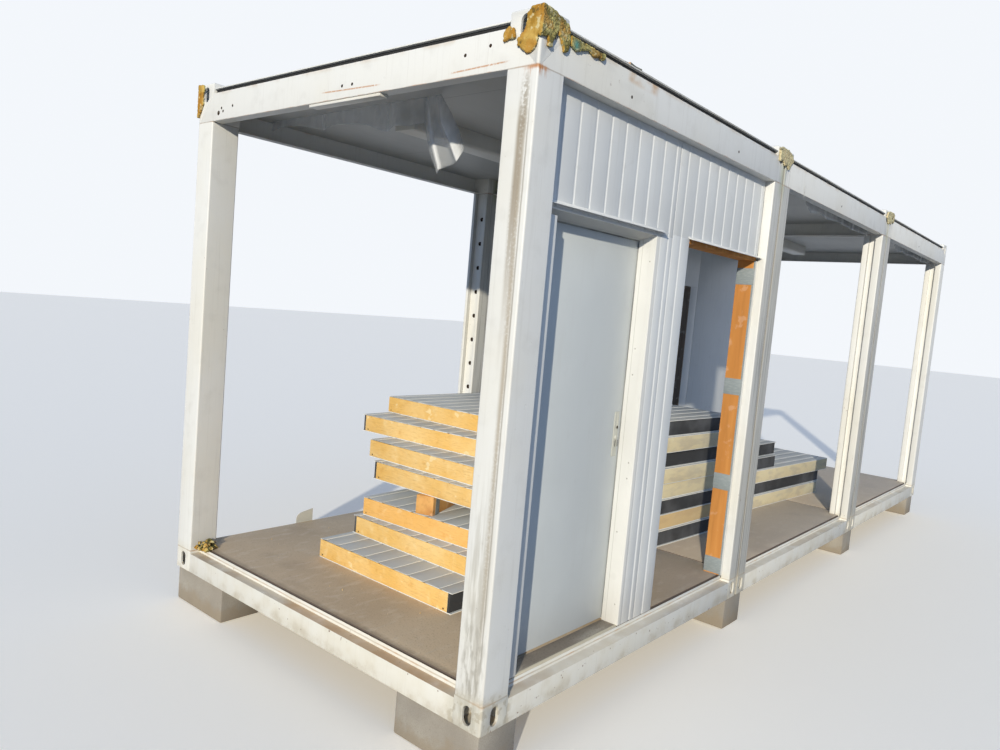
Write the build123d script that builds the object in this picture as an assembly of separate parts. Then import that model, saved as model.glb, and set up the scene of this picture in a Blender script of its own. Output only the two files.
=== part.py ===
from build123d import *
import os

# Row of three square site container modules, joined side by side, with the front wall, its door
# and the stacks of dismantled wall panels that stand in them. Sizes are in millimetres.
# While it is being laid out, X runs along the row from the open end, Y from the front face to the
# rear face and Z up from the underside of the bottom castings. place() then moves all of it so that
# the origin is under the middle of the row, on the ground.

# Driving dimensions of one module and of the row
module_size = 2450.0
module_height = 2800.0
module_count = 3
module_gap = 15.0
block_height = 200.0

# Corner posts and castings
end_post_width = 164.0
joint_post_width = 118.0
post_depth = 152.0
post_sheet = 4.0
post_fold_radius = 8.0
groove_depth = 34.0
groove_start = 55.0
groove_width = 52.0
post_hole_radius = 14.0
post_hole_count = 12
post_hole_pitch = 193.0
post_hole_below_head = 202.0
bottom_casting_height = 123.0
top_casting_height = 212.0
casting_wall = 12.0
casting_edge_radius = 10.0
side_slot_length = 82.0
side_slot_width = 48.0
top_slot_length = 96.0
top_slot_width = 54.0

# Rails of the roof frame and the floor frame
rail_sheet = 4.0
top_rail_height = 152.0
top_rail_flange = 60.0
corner_plate_setback = 12.0
bottom_rail_height = 108.0
bottom_rail_flange = 62.0
upstand_height = 32.0

# Floor, ceiling and roof
floor_top = 145.0
floor_edge_gap = 12.0
floor_tray_depth = 92.0
ceiling_thickness = 36.0
ceiling_edge_gap = 2.0
roof_foot_height = 22.0
roof_foot_inset = 16.0
roof_sheet = 6.0
roof_inset = 2.0
roof_seam_count = 4
roof_seam_width = 18.0
roof_seam_height = 18.0

# Sandwich wall panels
wall_recess = 55.0
wall_thickness = 110.0
skin_thickness = 4.0
rib_pitch = 118.5
rib_first = 84.0
rib_width = 20.0
rib_depth = 3.0
panel_joint = 3.0
seat_gap = 0.3

# Door in the first front panel
door_side_width = 119.5
door_jamb_width = 44.0
door_head_height = 35.0
door_head_top = 2115.0
door_stop_depth = 97.0
leaf_thickness = 43.0
leaf_clearance = 8.0
leaf_stop_gap = 5.0
leaf_lap = 10.0
sill_plate = 3.0
hinge_radius = 7.0
hinge_plate = 3.0
hinge_plate_width = 28.0
hinge_knuckle = 45.0
hinge_gap = 0.5
hinge_heights = [330.0, 1080.0, 1830.0]
lock_plate_width = 36.0
lock_plate_height = 225.0
lock_plate_thickness = 4.0
lock_plate_low = 1005.0
lock_edge_distance = 22.0

# Doorway without a leaf in the second front panel and in the rear wall
opening_side_width = 177.5
opening_top = 2110.0
lining_thickness = 22.0
lining_recess = 8.0
strap_thickness = 2.0
strap_height = 100.0
strap_heights = [151.0, 685.0, 1285.0, 1964.0]
flashing_leg = 26.0
flashing_reach = 30.0
flashing_drop = 8.0
flashing_sheet = 3.0
door_flashing_rise = 14.0
door_flashing_overlap = 25.0
opening_flashing_overlap = 12.0

# Dismantled wall panels that lie in stacks on the floor, and the timber packed between them
stack_panel_width = 1080.0
short_panel_length = 1040.0
long_panel_length = 2040.0
stack_lip = 12.0
stack_seal = 16.0
end_stack_place = (515.0, 674.0)
middle_stack_place = (2420.0, 600.0)
far_stack_place = (3560.0, 690.0)
packing_length = 760.0
packing_turn = 20.0
packing_place = (850.0, 1180.0)
packing_level = 3

# Lamps under the ceilings and the batten at the open end
lamp_length = 1230.0
lamp_width = 150.0
lamp_height = 95.0
lamp_from_front = 1315.0
lamp_edge_radius = 18.0
batten_width = 50.0
batten_height = 14.0
batten_start = 885.0
batten_length = 520.0

# Loose film that hangs from the ceilings
film_thickness = 3.0
film_from_end = 440.0
film_behind_rail = 60.0

# Mounting foam left on the castings
foam_thickness = 14.0

# Two pieces of a broken board left on the edge of the first roof
scrap_length = 210.0
scrap_width = 74.0
scrap_thickness = 14.0
scrap_from_end = 728.0
scrap_from_front = 60.0
scrap_turn = 8.0

# Concrete blocks on the ground
block_width = 240.0
block_length = 500.0
block_setback = 12.0

# Sizes that follow from the ones above
pitch = module_size + module_gap
row_length = module_count * pitch - module_gap
row_width = module_size
rail_top = module_height - top_casting_height + top_rail_height
rail_under = module_height - top_casting_height
ceiling_top = rail_top - rail_sheet
ceiling_under = ceiling_top - ceiling_thickness
roof_top = rail_top + roof_foot_height + roof_sheet
wall_outer = wall_recess
wall_inner = wall_recess + wall_thickness
wall_foot = floor_top
sill_top = floor_top + sill_plate
panel_foot = floor_top + seat_gap


def block(x0, y0, z0, x1, y1, z1):
    """Box between two corners."""
    size = (x1 - x0, y1 - y0, z1 - z0)
    return Pos(x0, y0, z0) * Box(*size, align=(Align.MIN, Align.MIN, Align.MIN))


def place(shape):
    """Move a shape from the layout frame to the part's own frame."""
    return Pos(-row_length / 2, -row_width / 2, block_height) * shape


def save(name, shapes):
    """Write the solids of one node to its own file."""
    solids = [solid for shape in shapes for solid in place(shape).solids()]
    export_step(Compound(children=solids), f"parts/{name}.step")


def to_corner(shape, module, right, rear):
    """Turn a piece made for the front left corner of a module to one of its four corners."""
    if right:
        shape = Pos(module_size, 0, 0) * mirror(shape, about=Plane.YZ)
    if rear:
        shape = Pos(0, module_size, 0) * mirror(shape, about=Plane.XZ)
    return Pos(module * pitch, 0, 0) * shape


def post_width(module, right):
    """Posts at the two ends of the row are wider than the paired posts between modules."""
    at_left_end = module == 0 and not right
    at_right_end = module == module_count - 1 and right
    return end_post_width if at_left_end or at_right_end else joint_post_width


def corner_post(width, rear):
    """Folded sheet post: a box with a groove for the wall panels in each inner side."""
    outline = Pos(width / 2, post_depth / 2) * RectangleRounded(width, post_depth, post_fold_radius)
    groove_middle = groove_start + groove_width / 2
    outline -= Pos(width - groove_depth / 2, groove_middle) * Rectangle(groove_depth, groove_width)
    section = outline - offset(outline, amount=-post_sheet, kind=Kind.INTERSECTION)
    post = Pos(0, 0, bottom_casting_height) * extrude(section, rail_under - bottom_casting_height)
    if rear and width == joint_post_width:
        # Holes in the floor of the groove, where the rear panels are bolted between the paired posts
        for index in range(post_hole_count):
            hole_height = rail_under - post_hole_below_head - index * post_hole_pitch
            hole = Rot(0, 90, 0) * Cylinder(post_hole_radius, 3 * post_sheet)
            post -= Pos(width - groove_depth - post_sheet / 2, groove_middle, hole_height) * hole
    return post


def slot_cutter(length, width, depth):
    """Prism with rounded ends, centred, cutting along Z."""
    return extrude(SlotOverall(length, width), depth / 2, both=True)


def casting(width, height, slot_height, at_top):
    """Hollow corner casting with a rounded outer edge and an oval hole in each outer face."""
    body = block(0, 0, 0, width, post_depth, height)
    rounded = body.edges().filter_by(Axis.Z).sort_by_distance((0, 0, height / 2))[:1]
    if at_top:
        rounded += body.edges().group_by(Axis.Z)[-1]
    body = fillet(rounded, casting_edge_radius)
    wall = casting_wall
    body -= block(wall, wall, wall, width - wall, post_depth - wall, height - wall)
    upright = Rot(0, 0, 90) * slot_cutter(side_slot_length, side_slot_width, 3 * wall)
    body -= Pos(width / 2, 0, slot_height) * Rot(90, 0, 0) * upright
    body -= Pos(0, post_depth / 2, slot_height) * Rot(0, 0, 90) * Rot(90, 0, 0) * upright
    if at_top:
        top_cutter = Rot(0, 0, 90) * slot_cutter(top_slot_length, top_slot_width, 3 * wall)
        body -= Pos(width / 2, post_depth / 2, height) * top_cutter
        for plate in corner_plates(width):
            body -= plate
    return body


def corner_plates(width):
    """The two triangular ends of the top rails' webs, let into the outer faces of a top casting."""
    start = corner_plate_setback
    rise = top_rail_height
    front = Plane.XZ * make_face(Polyline((start, 0), (width, 0), (width, rise), close=True))
    side = Plane.YZ * make_face(Polyline((start, 0), (post_depth, 0), (post_depth, rise), close=True))
    return extrude(front, -rail_sheet), extrude(side, rail_sheet)


def corners_of_module(make):
    """Make a piece for each of a module's four corners."""
    def build(module):
        pieces = []
        for right in (False, True):
            for rear in (False, True):
                piece = make(post_width(module, right), rear)
                pieces.append(to_corner(piece, module, right, rear))
        return pieces
    return build


def bottom_casting(width, rear):
    return casting(width, bottom_casting_height, bottom_casting_height / 2, False)


def top_casting(width, rear):
    slot_height = top_rail_height
    return Pos(0, 0, rail_under) * casting(width, top_casting_height, slot_height, True)


def rail_section(height, flange, lip):
    """C profile in the YZ plane with its web on the outer face; lip is the upstand, if any."""
    sheet = rail_sheet
    profile = Pos(sheet / 2, height / 2) * Rectangle(sheet, height)
    profile += Pos(flange / 2, sheet / 2) * Rectangle(flange, sheet)
    profile += Pos(flange / 2, height - sheet / 2) * Rectangle(flange, sheet)
    if lip:
        profile += Pos(flange - sheet / 2, height + lip / 2) * Rectangle(sheet, lip)
    return profile


def module_rails(module, height, flange, base, lip, plated):
    """Four rails between the corner castings of one module; a plated rail laps the castings."""
    left = post_width(module, False)
    right = module_size - post_width(module, True)
    rails = []
    for rear in (False, True):
        long_rail = extrude(Plane.YZ * rail_section(height, flange, lip), right - left)
        rail = to_corner(Pos(left, 0, base) * long_rail, module, False, rear)
        if plated:
            for at_right in (False, True):
                front_plate = corner_plates(post_width(module, at_right))[0]
                rail += to_corner(Pos(0, 0, base) * front_plate, module, at_right, rear)
        rails.append(rail)
    for at_right in (False, True):
        outside = post_width(module, at_right) == end_post_width
        section = rail_section(height, flange, lip if outside else 0)
        run = extrude(Plane.XZ * section, -(module_size - 2 * post_depth))
        rail = to_corner(Pos(0, post_depth, base) * run, module, at_right, False)
        if plated:
            for rear in (False, True):
                side_plate = corner_plates(post_width(module, at_right))[1]
                rail += to_corner(Pos(0, 0, base) * side_plate, module, at_right, rear)
        rails.append(rail)
    return rails


def corner_notches(module, base, top, slack):
    """Blocks that cut a floor, ceiling or roof free of the four corners of its module."""
    notches = []
    for right in (False, True):
        for rear in (False, True):
            width = post_width(module, right) + slack
            notch = block(-1, -1, base - 1, width, post_depth + slack, top + 1)
            notches.append(to_corner(notch, module, right, rear))
    return notches


def module_floor(module):
    """Floor build-up: a board over the joint rails and an insulated tray between the rails."""
    edge = bottom_rail_flange + floor_edge_gap
    at_left = edge if module == 0 else 0.0
    at_right = edge if module == module_count - 1 else 0.0
    x0 = module * pitch
    tray_top = bottom_rail_height
    board = block(x0 + at_left, edge, tray_top, x0 + module_size - at_right, module_size - edge, floor_top)
    for notch in corner_notches(module, tray_top, floor_top, panel_joint):
        board -= notch
    inner = bottom_rail_flange + panel_joint
    tray = block(x0 + inner, inner, tray_top - floor_tray_depth,
                 x0 + module_size - inner, module_size - inner, tray_top)
    for notch in corner_notches(module, tray_top - floor_tray_depth, tray_top, panel_joint):
        tray -= notch
    return [board + tray]


def module_ceiling(module):
    """Ceiling lining between the webs of the top rails, fixed under their upper flanges."""
    edge = rail_sheet + ceiling_edge_gap
    lining = block(module * pitch + edge, edge, ceiling_under, module * pitch + module_size - edge,
                   module_size - edge, ceiling_top)
    for notch in corner_notches(module, ceiling_under, ceiling_top, panel_joint):
        lining -= notch
    return [lining]


def module_roof(module):
    """Roof sheet with standing seams, on a set-back foot that leaves a dark gap over the rail."""
    x0 = module * pitch
    sheet_foot = rail_top + roof_foot_height
    foot = block(x0 + roof_foot_inset, roof_foot_inset, rail_top,
                 x0 + module_size - roof_foot_inset, module_size - roof_foot_inset, sheet_foot)
    sheet = block(x0 + roof_inset, roof_inset, sheet_foot,
                  x0 + module_size - roof_inset, module_size - roof_inset, roof_top)
    roof = foot + sheet
    for notch in corner_notches(module, rail_top, roof_top, panel_joint):
        roof -= notch
    for seam in range(roof_seam_count):
        seam_start = x0 + (seam + 1) * module_size / (roof_seam_count + 1) - roof_seam_width / 2
        roof += block(seam_start, roof_inset, roof_top,
                      seam_start + roof_seam_width, module_size - roof_inset, roof_top + roof_seam_height)
    return [roof]


def rib_places(panel_start, panel_end):
    """Middles of the pressed grooves of a wall panel that starts at panel_start."""
    places = []
    place_of_rib = panel_start + rib_first
    while place_of_rib < panel_end - rib_width:
        places.append(place_of_rib)
        place_of_rib += rib_pitch
    return places


def rib_cutter(x, y, z0, z1):
    """Tapered groove pressed into the outer skin, running up the wall."""
    half_mouth = rib_width / 2
    half_floor = rib_width / 4
    with BuildSketch(Plane.XY.offset(z0)) as groove:
        with BuildLine():
            Polyline((x - half_mouth, y - 1), (x + half_mouth, y - 1), (x + half_floor, y + rib_depth),
                     (x - half_floor, y + rib_depth), close=True)
        make_face()
    return extrude(groove.sketch, z1 - z0)


def wall_piece(x0, x1, z0, z1, panel_start):
    """Piece of ribbed sandwich wall on the front of the row."""
    piece = block(x0, wall_outer, z0, x1, wall_inner, z1)
    for x in rib_places(panel_start, panel_start + stack_panel_width):
        if x0 + rib_width < x < x1 - rib_width:
            piece -= rib_cutter(x, wall_outer, z0 - 1, z1 + 1)
    return piece


def to_rear(shape):
    """Mirror a front wall piece into the rear wall."""
    return Pos(0, module_size, 0) * mirror(shape, about=Plane.XZ)


os.makedirs("parts", exist_ok=True)

# Steel frames, floors, ceilings and roofs of the modules
for module in range(module_count):
    number = module + 1
    save(f"module_{number}_corner_posts", corners_of_module(corner_post)(module))
    save(f"module_{number}_bottom_castings", corners_of_module(bottom_casting)(module))
    save(f"module_{number}_top_castings", corners_of_module(top_casting)(module))
    save(f"module_{number}_bottom_rails",
         module_rails(module, bottom_rail_height, bottom_rail_flange, 0.0, upstand_height, False))
    save(f"module_{number}_top_rails",
         module_rails(module, top_rail_height, top_rail_flange, rail_under, 0.0, True))
    save(f"module_{number}_floor", module_floor(module))
    save(f"module_{number}_ceiling", module_ceiling(module))
    save(f"module_{number}_roof", module_roof(module))

# Front wall of the first module: a door panel and a panel with a bare doorway
wall_start = end_post_width + panel_joint
wall_end = module_size - joint_post_width - panel_joint
wall_middle = (wall_start + wall_end) / 2
panel_width = wall_middle - panel_joint / 2 - wall_start
door_left = wall_start + door_jamb_width
door_frame_right = wall_middle - panel_joint / 2 - door_side_width
door_right = door_frame_right - door_jamb_width + leaf_clearance
opening_right = wall_end - lining_thickness
opening_left = wall_middle + panel_joint / 2 + opening_side_width
wall_top = rail_under

door_panel_end = wall_middle - panel_joint / 2
opening_panel_start = wall_middle + panel_joint / 2
opening_head_top = opening_top + lining_thickness

save("front_wall_over_door",
     [wall_piece(wall_start, door_panel_end, door_head_top, wall_top, wall_start)])
save("front_wall_beside_door",
     [wall_piece(door_frame_right, door_panel_end, wall_foot, door_head_top, wall_start)])
save("front_wall_over_opening",
     [wall_piece(opening_panel_start, wall_end, opening_head_top, wall_top, wall_middle)])
save("front_wall_beside_opening",
     [wall_piece(opening_panel_start, opening_left, wall_foot, opening_head_top, wall_middle)])


def lining(left, right, top, foot):
    """Timber lining of a bare doorway: a head board and the board of its right side."""
    front = wall_outer + lining_recess
    head = block(left, front, top, right, wall_inner, top + lining_thickness)
    side = block(right, front, foot, right + lining_thickness, wall_inner, top + lining_thickness)
    return head + side


save("opening_timber_lining", [lining(opening_left, opening_right, opening_top, wall_foot)])

# Sheet trim over the edge of the side board, with straps that are bent round the board
jamb_trim = block(opening_right, wall_outer - flashing_sheet, wall_foot, wall_end,
                  wall_outer + lining_recess, opening_top)
for strap_low in strap_heights:
    jamb_trim += block(opening_right - strap_thickness, wall_outer - flashing_sheet, strap_low,
                       opening_right, wall_inner, strap_low + strap_height)
save("opening_jamb_trim", [jamb_trim])

# Door frame: two jambs and a head with a rebate on the room side
stop_face = wall_outer + door_stop_depth
leaf_front = stop_face + leaf_stop_gap
leaf_back = leaf_front + leaf_thickness
leaf_left = door_left - leaf_lap
leaf_right = door_right + leaf_lap
leaf_top = door_head_top - door_head_height + leaf_lap - leaf_clearance
leaf_foot = sill_top + leaf_clearance
frame_outline = block(wall_start, wall_outer, wall_foot, door_frame_right, leaf_back, door_head_top)
clear_way = block(door_left, wall_outer - 1, wall_foot - 1,
                  door_right, leaf_back + 1, door_head_top - door_head_height)
rebate = block(leaf_left - leaf_clearance, stop_face, wall_foot - 1, leaf_right + leaf_clearance,
               leaf_back + 1, leaf_top + leaf_clearance)
save("door_frame", [frame_outline - clear_way - rebate])
sill_front = bottom_rail_flange + seat_gap
sill_nosing = block(door_left, sill_front, bottom_rail_height,
                    door_right, bottom_rail_flange + floor_edge_gap, sill_top)
save("door_sill", [sill_nosing + block(door_left, sill_front, floor_top, door_right, stop_face, sill_top)])

# Door leaf, its lock plate and its hinges
leaf = block(leaf_left, leaf_front, leaf_foot, leaf_right, leaf_back, leaf_top)
save("door_leaf", [leaf])
lock_right = door_right - lock_edge_distance
lock_left = lock_right - lock_plate_width
lock_plate = block(lock_left, leaf_front - lock_plate_thickness, lock_plate_low,
                   lock_right, leaf_front, lock_plate_low + lock_plate_height)
lock_middle = (lock_left + lock_right) / 2
key_hole_height = lock_plate_low + 0.78 * lock_plate_height
key_hole = Pos(lock_middle, leaf_front, key_hole_height) * Rot(90, 0, 0)
lock_plate -= key_hole * extrude(Rot(0, 0, 90) * SlotOverall(20, 8), lock_plate_thickness, both=True)
spindle = Pos(lock_middle, leaf_front, lock_plate_low + 0.42 * lock_plate_height) * Rot(90, 0, 0)
lock_plate += spindle * extrude(Circle(9), 3 * lock_plate_thickness)
save("door_lock_plate", [lock_plate])

axis_x = leaf_left - leaf_clearance / 2
axis_y = leaf_back + hinge_radius


def hinge_half(base, toward_leaf):
    """One knuckle with its fixing plate, on the leaf or on the jamb."""
    knuckle = Pos(axis_x, axis_y, base) * Cylinder(
        hinge_radius, hinge_knuckle, align=(Align.CENTER, Align.CENTER, Align.MIN))
    reach = hinge_plate_width if toward_leaf else -hinge_plate_width
    plate = block(min(axis_x, axis_x + reach), leaf_back, base,
                  max(axis_x, axis_x + reach), leaf_back + hinge_plate, base + hinge_knuckle)
    return knuckle + plate


save("door_hinge_jamb_halves", [hinge_half(height, False) for height in hinge_heights])
save("door_hinge_leaf_halves",
     [hinge_half(height + hinge_knuckle + hinge_gap, True) for height in hinge_heights])


def drip_flashing(left, right, base):
    """Folded strip over a doorway that throws the rain clear of it."""
    back = wall_outer
    nose = base - flashing_drop
    with BuildSketch(Plane.YZ.offset(left)) as fold:
        with BuildLine():
            Polyline((back, base + flashing_leg), (back, base), (back - flashing_reach, nose),
                     (back - flashing_reach, nose + flashing_sheet),
                     (back - flashing_sheet, base + flashing_sheet),
                     (back - flashing_sheet, base + flashing_leg), close=True)
        make_face()
    return extrude(fold.sketch, right - left)


save("drip_flashings", [
    drip_flashing(wall_start, door_frame_right + door_flashing_overlap, door_head_top + door_flashing_rise),
    drip_flashing(opening_left - opening_flashing_overlap, wall_end, opening_top + lining_thickness),
])

# Rear wall of the third module: a panel with a bare doorway and a plain one beside it
rear_start = 2 * pitch + joint_post_width + panel_joint
rear_end = 2 * pitch + module_size - end_post_width - panel_joint
rear_joint = rear_start + panel_width
rear_opening_right = rear_joint - opening_side_width - lining_thickness
save("rear_wall_over_opening",
     [to_rear(wall_piece(rear_start, rear_joint, opening_head_top, wall_top, rear_start))])
save("rear_wall_beside_opening",
     [to_rear(wall_piece(rear_opening_right + lining_thickness, rear_joint, wall_foot,
                         opening_head_top, rear_start))])
save("rear_wall_plain_panel",
     [to_rear(wall_piece(rear_joint + panel_joint, rear_end, wall_foot, wall_top, rear_joint))])
save("rear_opening_timber_lining",
     [to_rear(lining(rear_start, rear_opening_right, opening_top, wall_foot))])


def stack_panel(corner, length, level, turn, seal_in_front):
    """A panel lying flat: a mineral wool core that is flush with the skins at one long edge and
    drawn back behind a seal at the other, as the panels' edges slip into each other."""
    width = stack_panel_width
    thickness = wall_thickness - 2 * seat_gap
    core_edge = stack_lip + stack_seal
    core = block(0, core_edge, skin_thickness, length, width, thickness - skin_thickness)
    seal = block(0, stack_lip, skin_thickness, length, core_edge, thickness - skin_thickness)
    if not seal_in_front:
        core = Pos(0, width, 0) * mirror(core, about=Plane.XZ)
        seal = Pos(0, width, 0) * mirror(seal, about=Plane.XZ)
    lower = block(0, 0, 0, length, width, skin_thickness)
    upper = block(0, 0, thickness - skin_thickness, length, width, thickness)
    for groove in rib_places(0.0, width):
        upper -= block(-1, groove - rib_width / 2, thickness - rib_depth,
                       length + 1, groove + rib_width / 2, thickness + 1)
    seat = Pos(*corner, panel_foot + level * wall_thickness) * Rot(0, 0, turn)
    return seat * core, [seat * lower, seat * upper], seat * seal


# Each entry shifts a panel from its stack's corner and gives its length, its layer from the floor,
# its turn and whether its sealed edge is in front
end_stack = [
    ((0, 0), short_panel_length, 0, 0.0, True),
    ((230, -9), short_panel_length, 1, 0.0, False),
    ((335, -34), short_panel_length, 2, 3.0, True),
    ((343, -38), short_panel_length, 4, 0.5, False),
    ((395, 78), short_panel_length, 5, 0.0, True),
    ((595, 346), short_panel_length, 6, 2.5, False),
    ((769, 366), short_panel_length, 7, -0.8, True),
]
middle_stack = [
    ((12 * (level % 3), 18 * (level % 2)), short_panel_length, level, -4.0, level in (0, 2, 5, 7))
    for level in range(8)
]
far_stack = [
    ((0, 0), long_panel_length, 0, -4.5, False),
    ((80, 10), long_panel_length, 1, -4.5, True),
    ((200, 0), long_panel_length, 2, -5.0, False),
    ((80, 10), short_panel_length, 3, -4.0, True),
    ((140, 30), short_panel_length, 4, -3.0, True),
]
cores = []
skins = []
seals = []
for stack_place, stack in ((end_stack_place, end_stack), (middle_stack_place, middle_stack),
                           (far_stack_place, far_stack)):
    for shift, length, level, turn, seal_in_front in stack:
        corner = (stack_place[0] + shift[0], stack_place[1] + shift[1])
        core, pair_of_skins, seal = stack_panel(corner, length, level, turn, seal_in_front)
        cores.append(core)
        skins.extend(pair_of_skins)
        seals.append(seal)
save("stack_panel_cores", cores)
save("stack_panel_skins", skins)
save("stack_panel_seals", seals)

# Piece of timber lining that fills the gap in the layers of the end stack
packing_base = panel_foot + packing_level * wall_thickness
packing_side = wall_thickness - 2 * seat_gap
packing = Pos(*packing_place, packing_base) * Rot(0, 0, packing_turn) * block(
    0, 0, 0, packing_length, packing_side, packing_side)
save("stack_packing_timber", [packing])

# Lamps under the ceilings and the batten under the top rail of the open end
lamps = []
for module in range(module_count):
    middle = module * pitch + module_size / 2
    lamp = block(middle - lamp_length / 2, lamp_from_front, ceiling_under - lamp_height,
                 middle + lamp_length / 2, lamp_from_front + lamp_width, ceiling_under)
    lower_edges = lamp.edges().filter_by(Axis.X).group_by(Axis.Z)[0]
    lamps.append(fillet(lower_edges, lamp_edge_radius))
save("ceiling_lamps", lamps)
save("open_end_batten",
     [block(rail_sheet, batten_start, rail_under - batten_height, rail_sheet + batten_width,
            batten_start + batten_length, rail_under)])


def hanging_sheet(drops):
    """Flat sheet in the XZ plane under the ceiling; each drop is a place along it and a length."""
    lower_edge = [(along, -drop) for along, drop in drops]
    upper_edge = [(drops[-1][0], 0), (drops[0][0], 0)]
    outline = make_face(Polyline(*lower_edge, *upper_edge, close=True))
    return Pos(0, 0, ceiling_under) * extrude(Plane.XZ * outline, film_thickness)


# Loose film behind the open end, where a torn strip hangs lower, and along the front rails of the
# second and third module
end_film_drops = [(764, 276), (781, 336), (815, 316), (883, 369), (941, 381), (989, 320), (1054, 140),
                  (1177, 130), (1289, 121), (1333, 145), (1402, 130), (1504, 96), (1681, 78), (1875, 94),
                  (2093, 53), (2209, 38), (2215, 134), (2257, 125), (2283, 30), (2400, 70)]
front_film_drops = [(0, 100), (150, 146), (350, 125), (530, 139), (740, 127), (1170, 131), (1550, 129)]
end_film = Pos(film_from_end, 0, 0) * Rot(0, 0, 90) * hanging_sheet(end_film_drops)
front_film_y = top_rail_flange + film_behind_rail
films = [end_film]
for module in (1, 2):
    film_end = module * pitch + module_size - end_post_width - seat_gap
    film_start = film_end - front_film_drops[-1][0]
    films.append(Pos(film_start, front_film_y, 0) * hanging_sheet(front_film_drops))
save("hanging_film", films)


def foam_patch(outline, on_end=False):
    """Lump of hardened foam on the front of the row, or on its open end. Its outline is given as
    places along that face and heights over the foot of the top castings."""
    lump = Pos(0, rail_under) * make_face(Polyline(*outline, close=True))
    if on_end:
        return extrude(Plane.YZ * lump, -foam_thickness)
    return extrude(Plane.XZ * lump, foam_thickness)


# Foam round the near corner, along the rail beside it, at the rear corner and over each joint
near_end_foam = [(-foam_thickness, 210), (41, 208), (62, 187), (60, 157), (78, 120), (103, 102),
                 (99, 80), (47, 43), (18, 64), (10, 100), (-foam_thickness, 104)]
near_front_foam = [(0, 210), (40, 208), (150, 184), (164, 142), (158, 92), (134, 84), (116, 116),
                   (88, 150), (66, 112), (46, 74), (30, 112), (0, 102)]
near_side_foam = [(118, 112), (170, 106), (172, 134), (150, 152), (124, 140)]
rail_foam = [(172, 124), (176, 150), (410, 150), (404, 130), (368, 134), (330, 124), (300, 139),
             (255, 128), (212, 110)]
rear_end_foam = [(module_size - along, height) for along, height in
                 ((1, 208), (48, 206), (58, 180), (46, 150), (54, 112), (26, 58), (1, 30))]
joint_foam = [(-118, 196), (-78, 210), (-20, 204), (4, 208), (82, 192), (102, 156), (72, 132), (42, 100),
              (12, 124), (-28, 110), (-58, 136), (-108, 128)]
foam = [foam_patch(near_end_foam, on_end=True) + foam_patch(near_front_foam),
        foam_patch(near_side_foam, on_end=True),
        foam_patch(rail_foam),
        foam_patch(rear_end_foam, on_end=True)]
for joint in range(1, module_count):
    joint_middle = joint * pitch - module_gap / 2
    side = 1 if joint % 2 else -1
    foam.append(foam_patch([(joint_middle + side * along, height) for along, height in joint_foam]))
save("casting_foam", foam)

# Broken board on the roof edge: a long splinter on a wider one
scrap_seat = Pos(scrap_from_end, scrap_from_front, roof_top + seat_gap) * Rot(0, 0, scrap_turn)
lower_splinter = make_face(Polyline(
    (-scrap_length / 2, -scrap_width / 2), (0.42 * scrap_length, -scrap_width / 2),
    (scrap_length / 2, 0), (0.46 * scrap_length, scrap_width / 2),
    (-0.38 * scrap_length, scrap_width / 2), close=True))
upper_splinter = make_face(Polyline(
    (-0.44 * scrap_length, 0), (0.2 * scrap_length, -0.4 * scrap_width), (0.4 * scrap_length, 0),
    (-0.2 * scrap_length, 0.4 * scrap_width), close=True))
save("roof_edge_scrap", [
    scrap_seat * extrude(lower_splinter, scrap_thickness),
    scrap_seat * Pos(0, 0, scrap_thickness) * extrude(upper_splinter, scrap_thickness),
])

# Concrete blocks under the bottom castings
blocks = []
for index in range(module_count + 1):
    middle = index * pitch - module_gap / 2
    x0 = min(max(middle - block_width / 2, block_setback), row_length - block_setback - block_width)
    for rear in (False, True):
        support = block(x0, block_setback, -block_height, x0 + block_width, block_length, 0)
        blocks.append(to_rear(support) if rear else support)
save("support_blocks", blocks)
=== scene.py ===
import math

import bmesh
import bpy
from mathutils import Matrix, Vector, noise


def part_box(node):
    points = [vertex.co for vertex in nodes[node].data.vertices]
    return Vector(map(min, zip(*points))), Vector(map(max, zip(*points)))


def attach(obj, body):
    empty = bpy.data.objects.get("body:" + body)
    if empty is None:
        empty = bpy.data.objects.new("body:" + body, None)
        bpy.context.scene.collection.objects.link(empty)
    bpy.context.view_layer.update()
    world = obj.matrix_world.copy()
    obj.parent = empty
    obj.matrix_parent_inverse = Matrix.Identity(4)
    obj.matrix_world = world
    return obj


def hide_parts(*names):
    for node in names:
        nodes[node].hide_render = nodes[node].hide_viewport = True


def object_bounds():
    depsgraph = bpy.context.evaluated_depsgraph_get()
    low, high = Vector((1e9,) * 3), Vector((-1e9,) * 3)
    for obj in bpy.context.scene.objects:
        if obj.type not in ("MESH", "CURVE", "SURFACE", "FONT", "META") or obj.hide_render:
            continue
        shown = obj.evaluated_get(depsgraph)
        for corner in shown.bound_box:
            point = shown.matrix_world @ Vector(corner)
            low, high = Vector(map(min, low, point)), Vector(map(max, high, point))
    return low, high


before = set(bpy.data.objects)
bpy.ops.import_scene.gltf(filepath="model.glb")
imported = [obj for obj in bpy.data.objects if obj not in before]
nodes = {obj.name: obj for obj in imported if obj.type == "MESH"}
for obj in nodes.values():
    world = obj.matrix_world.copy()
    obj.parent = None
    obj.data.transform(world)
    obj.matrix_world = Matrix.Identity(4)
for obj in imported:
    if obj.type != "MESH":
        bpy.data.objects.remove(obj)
cad_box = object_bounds()


# Support blocks: grey precast concrete blocks that stand on the ground under the bottom castings.
# They are cast in a smooth steel mould, so their faces are plain with small air holes, and their
# edges are chipped where they were handled.

# Every finish measures its patterns from the near front corner of the row
near_post_low, near_post_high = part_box("module_1_corner_posts")
end_x = near_post_low.x
front_y = near_post_low.y
base_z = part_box("support_blocks")[1].z


def feed(tree, socket, value):
    """Set a socket to a value, or link it to a pattern or another node's output."""
    if isinstance(value, Pattern):
        value = value.socket
    if isinstance(value, bpy.types.NodeSocket):
        tree.links.new(value, socket)
    else:
        socket.default_value = value


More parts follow.
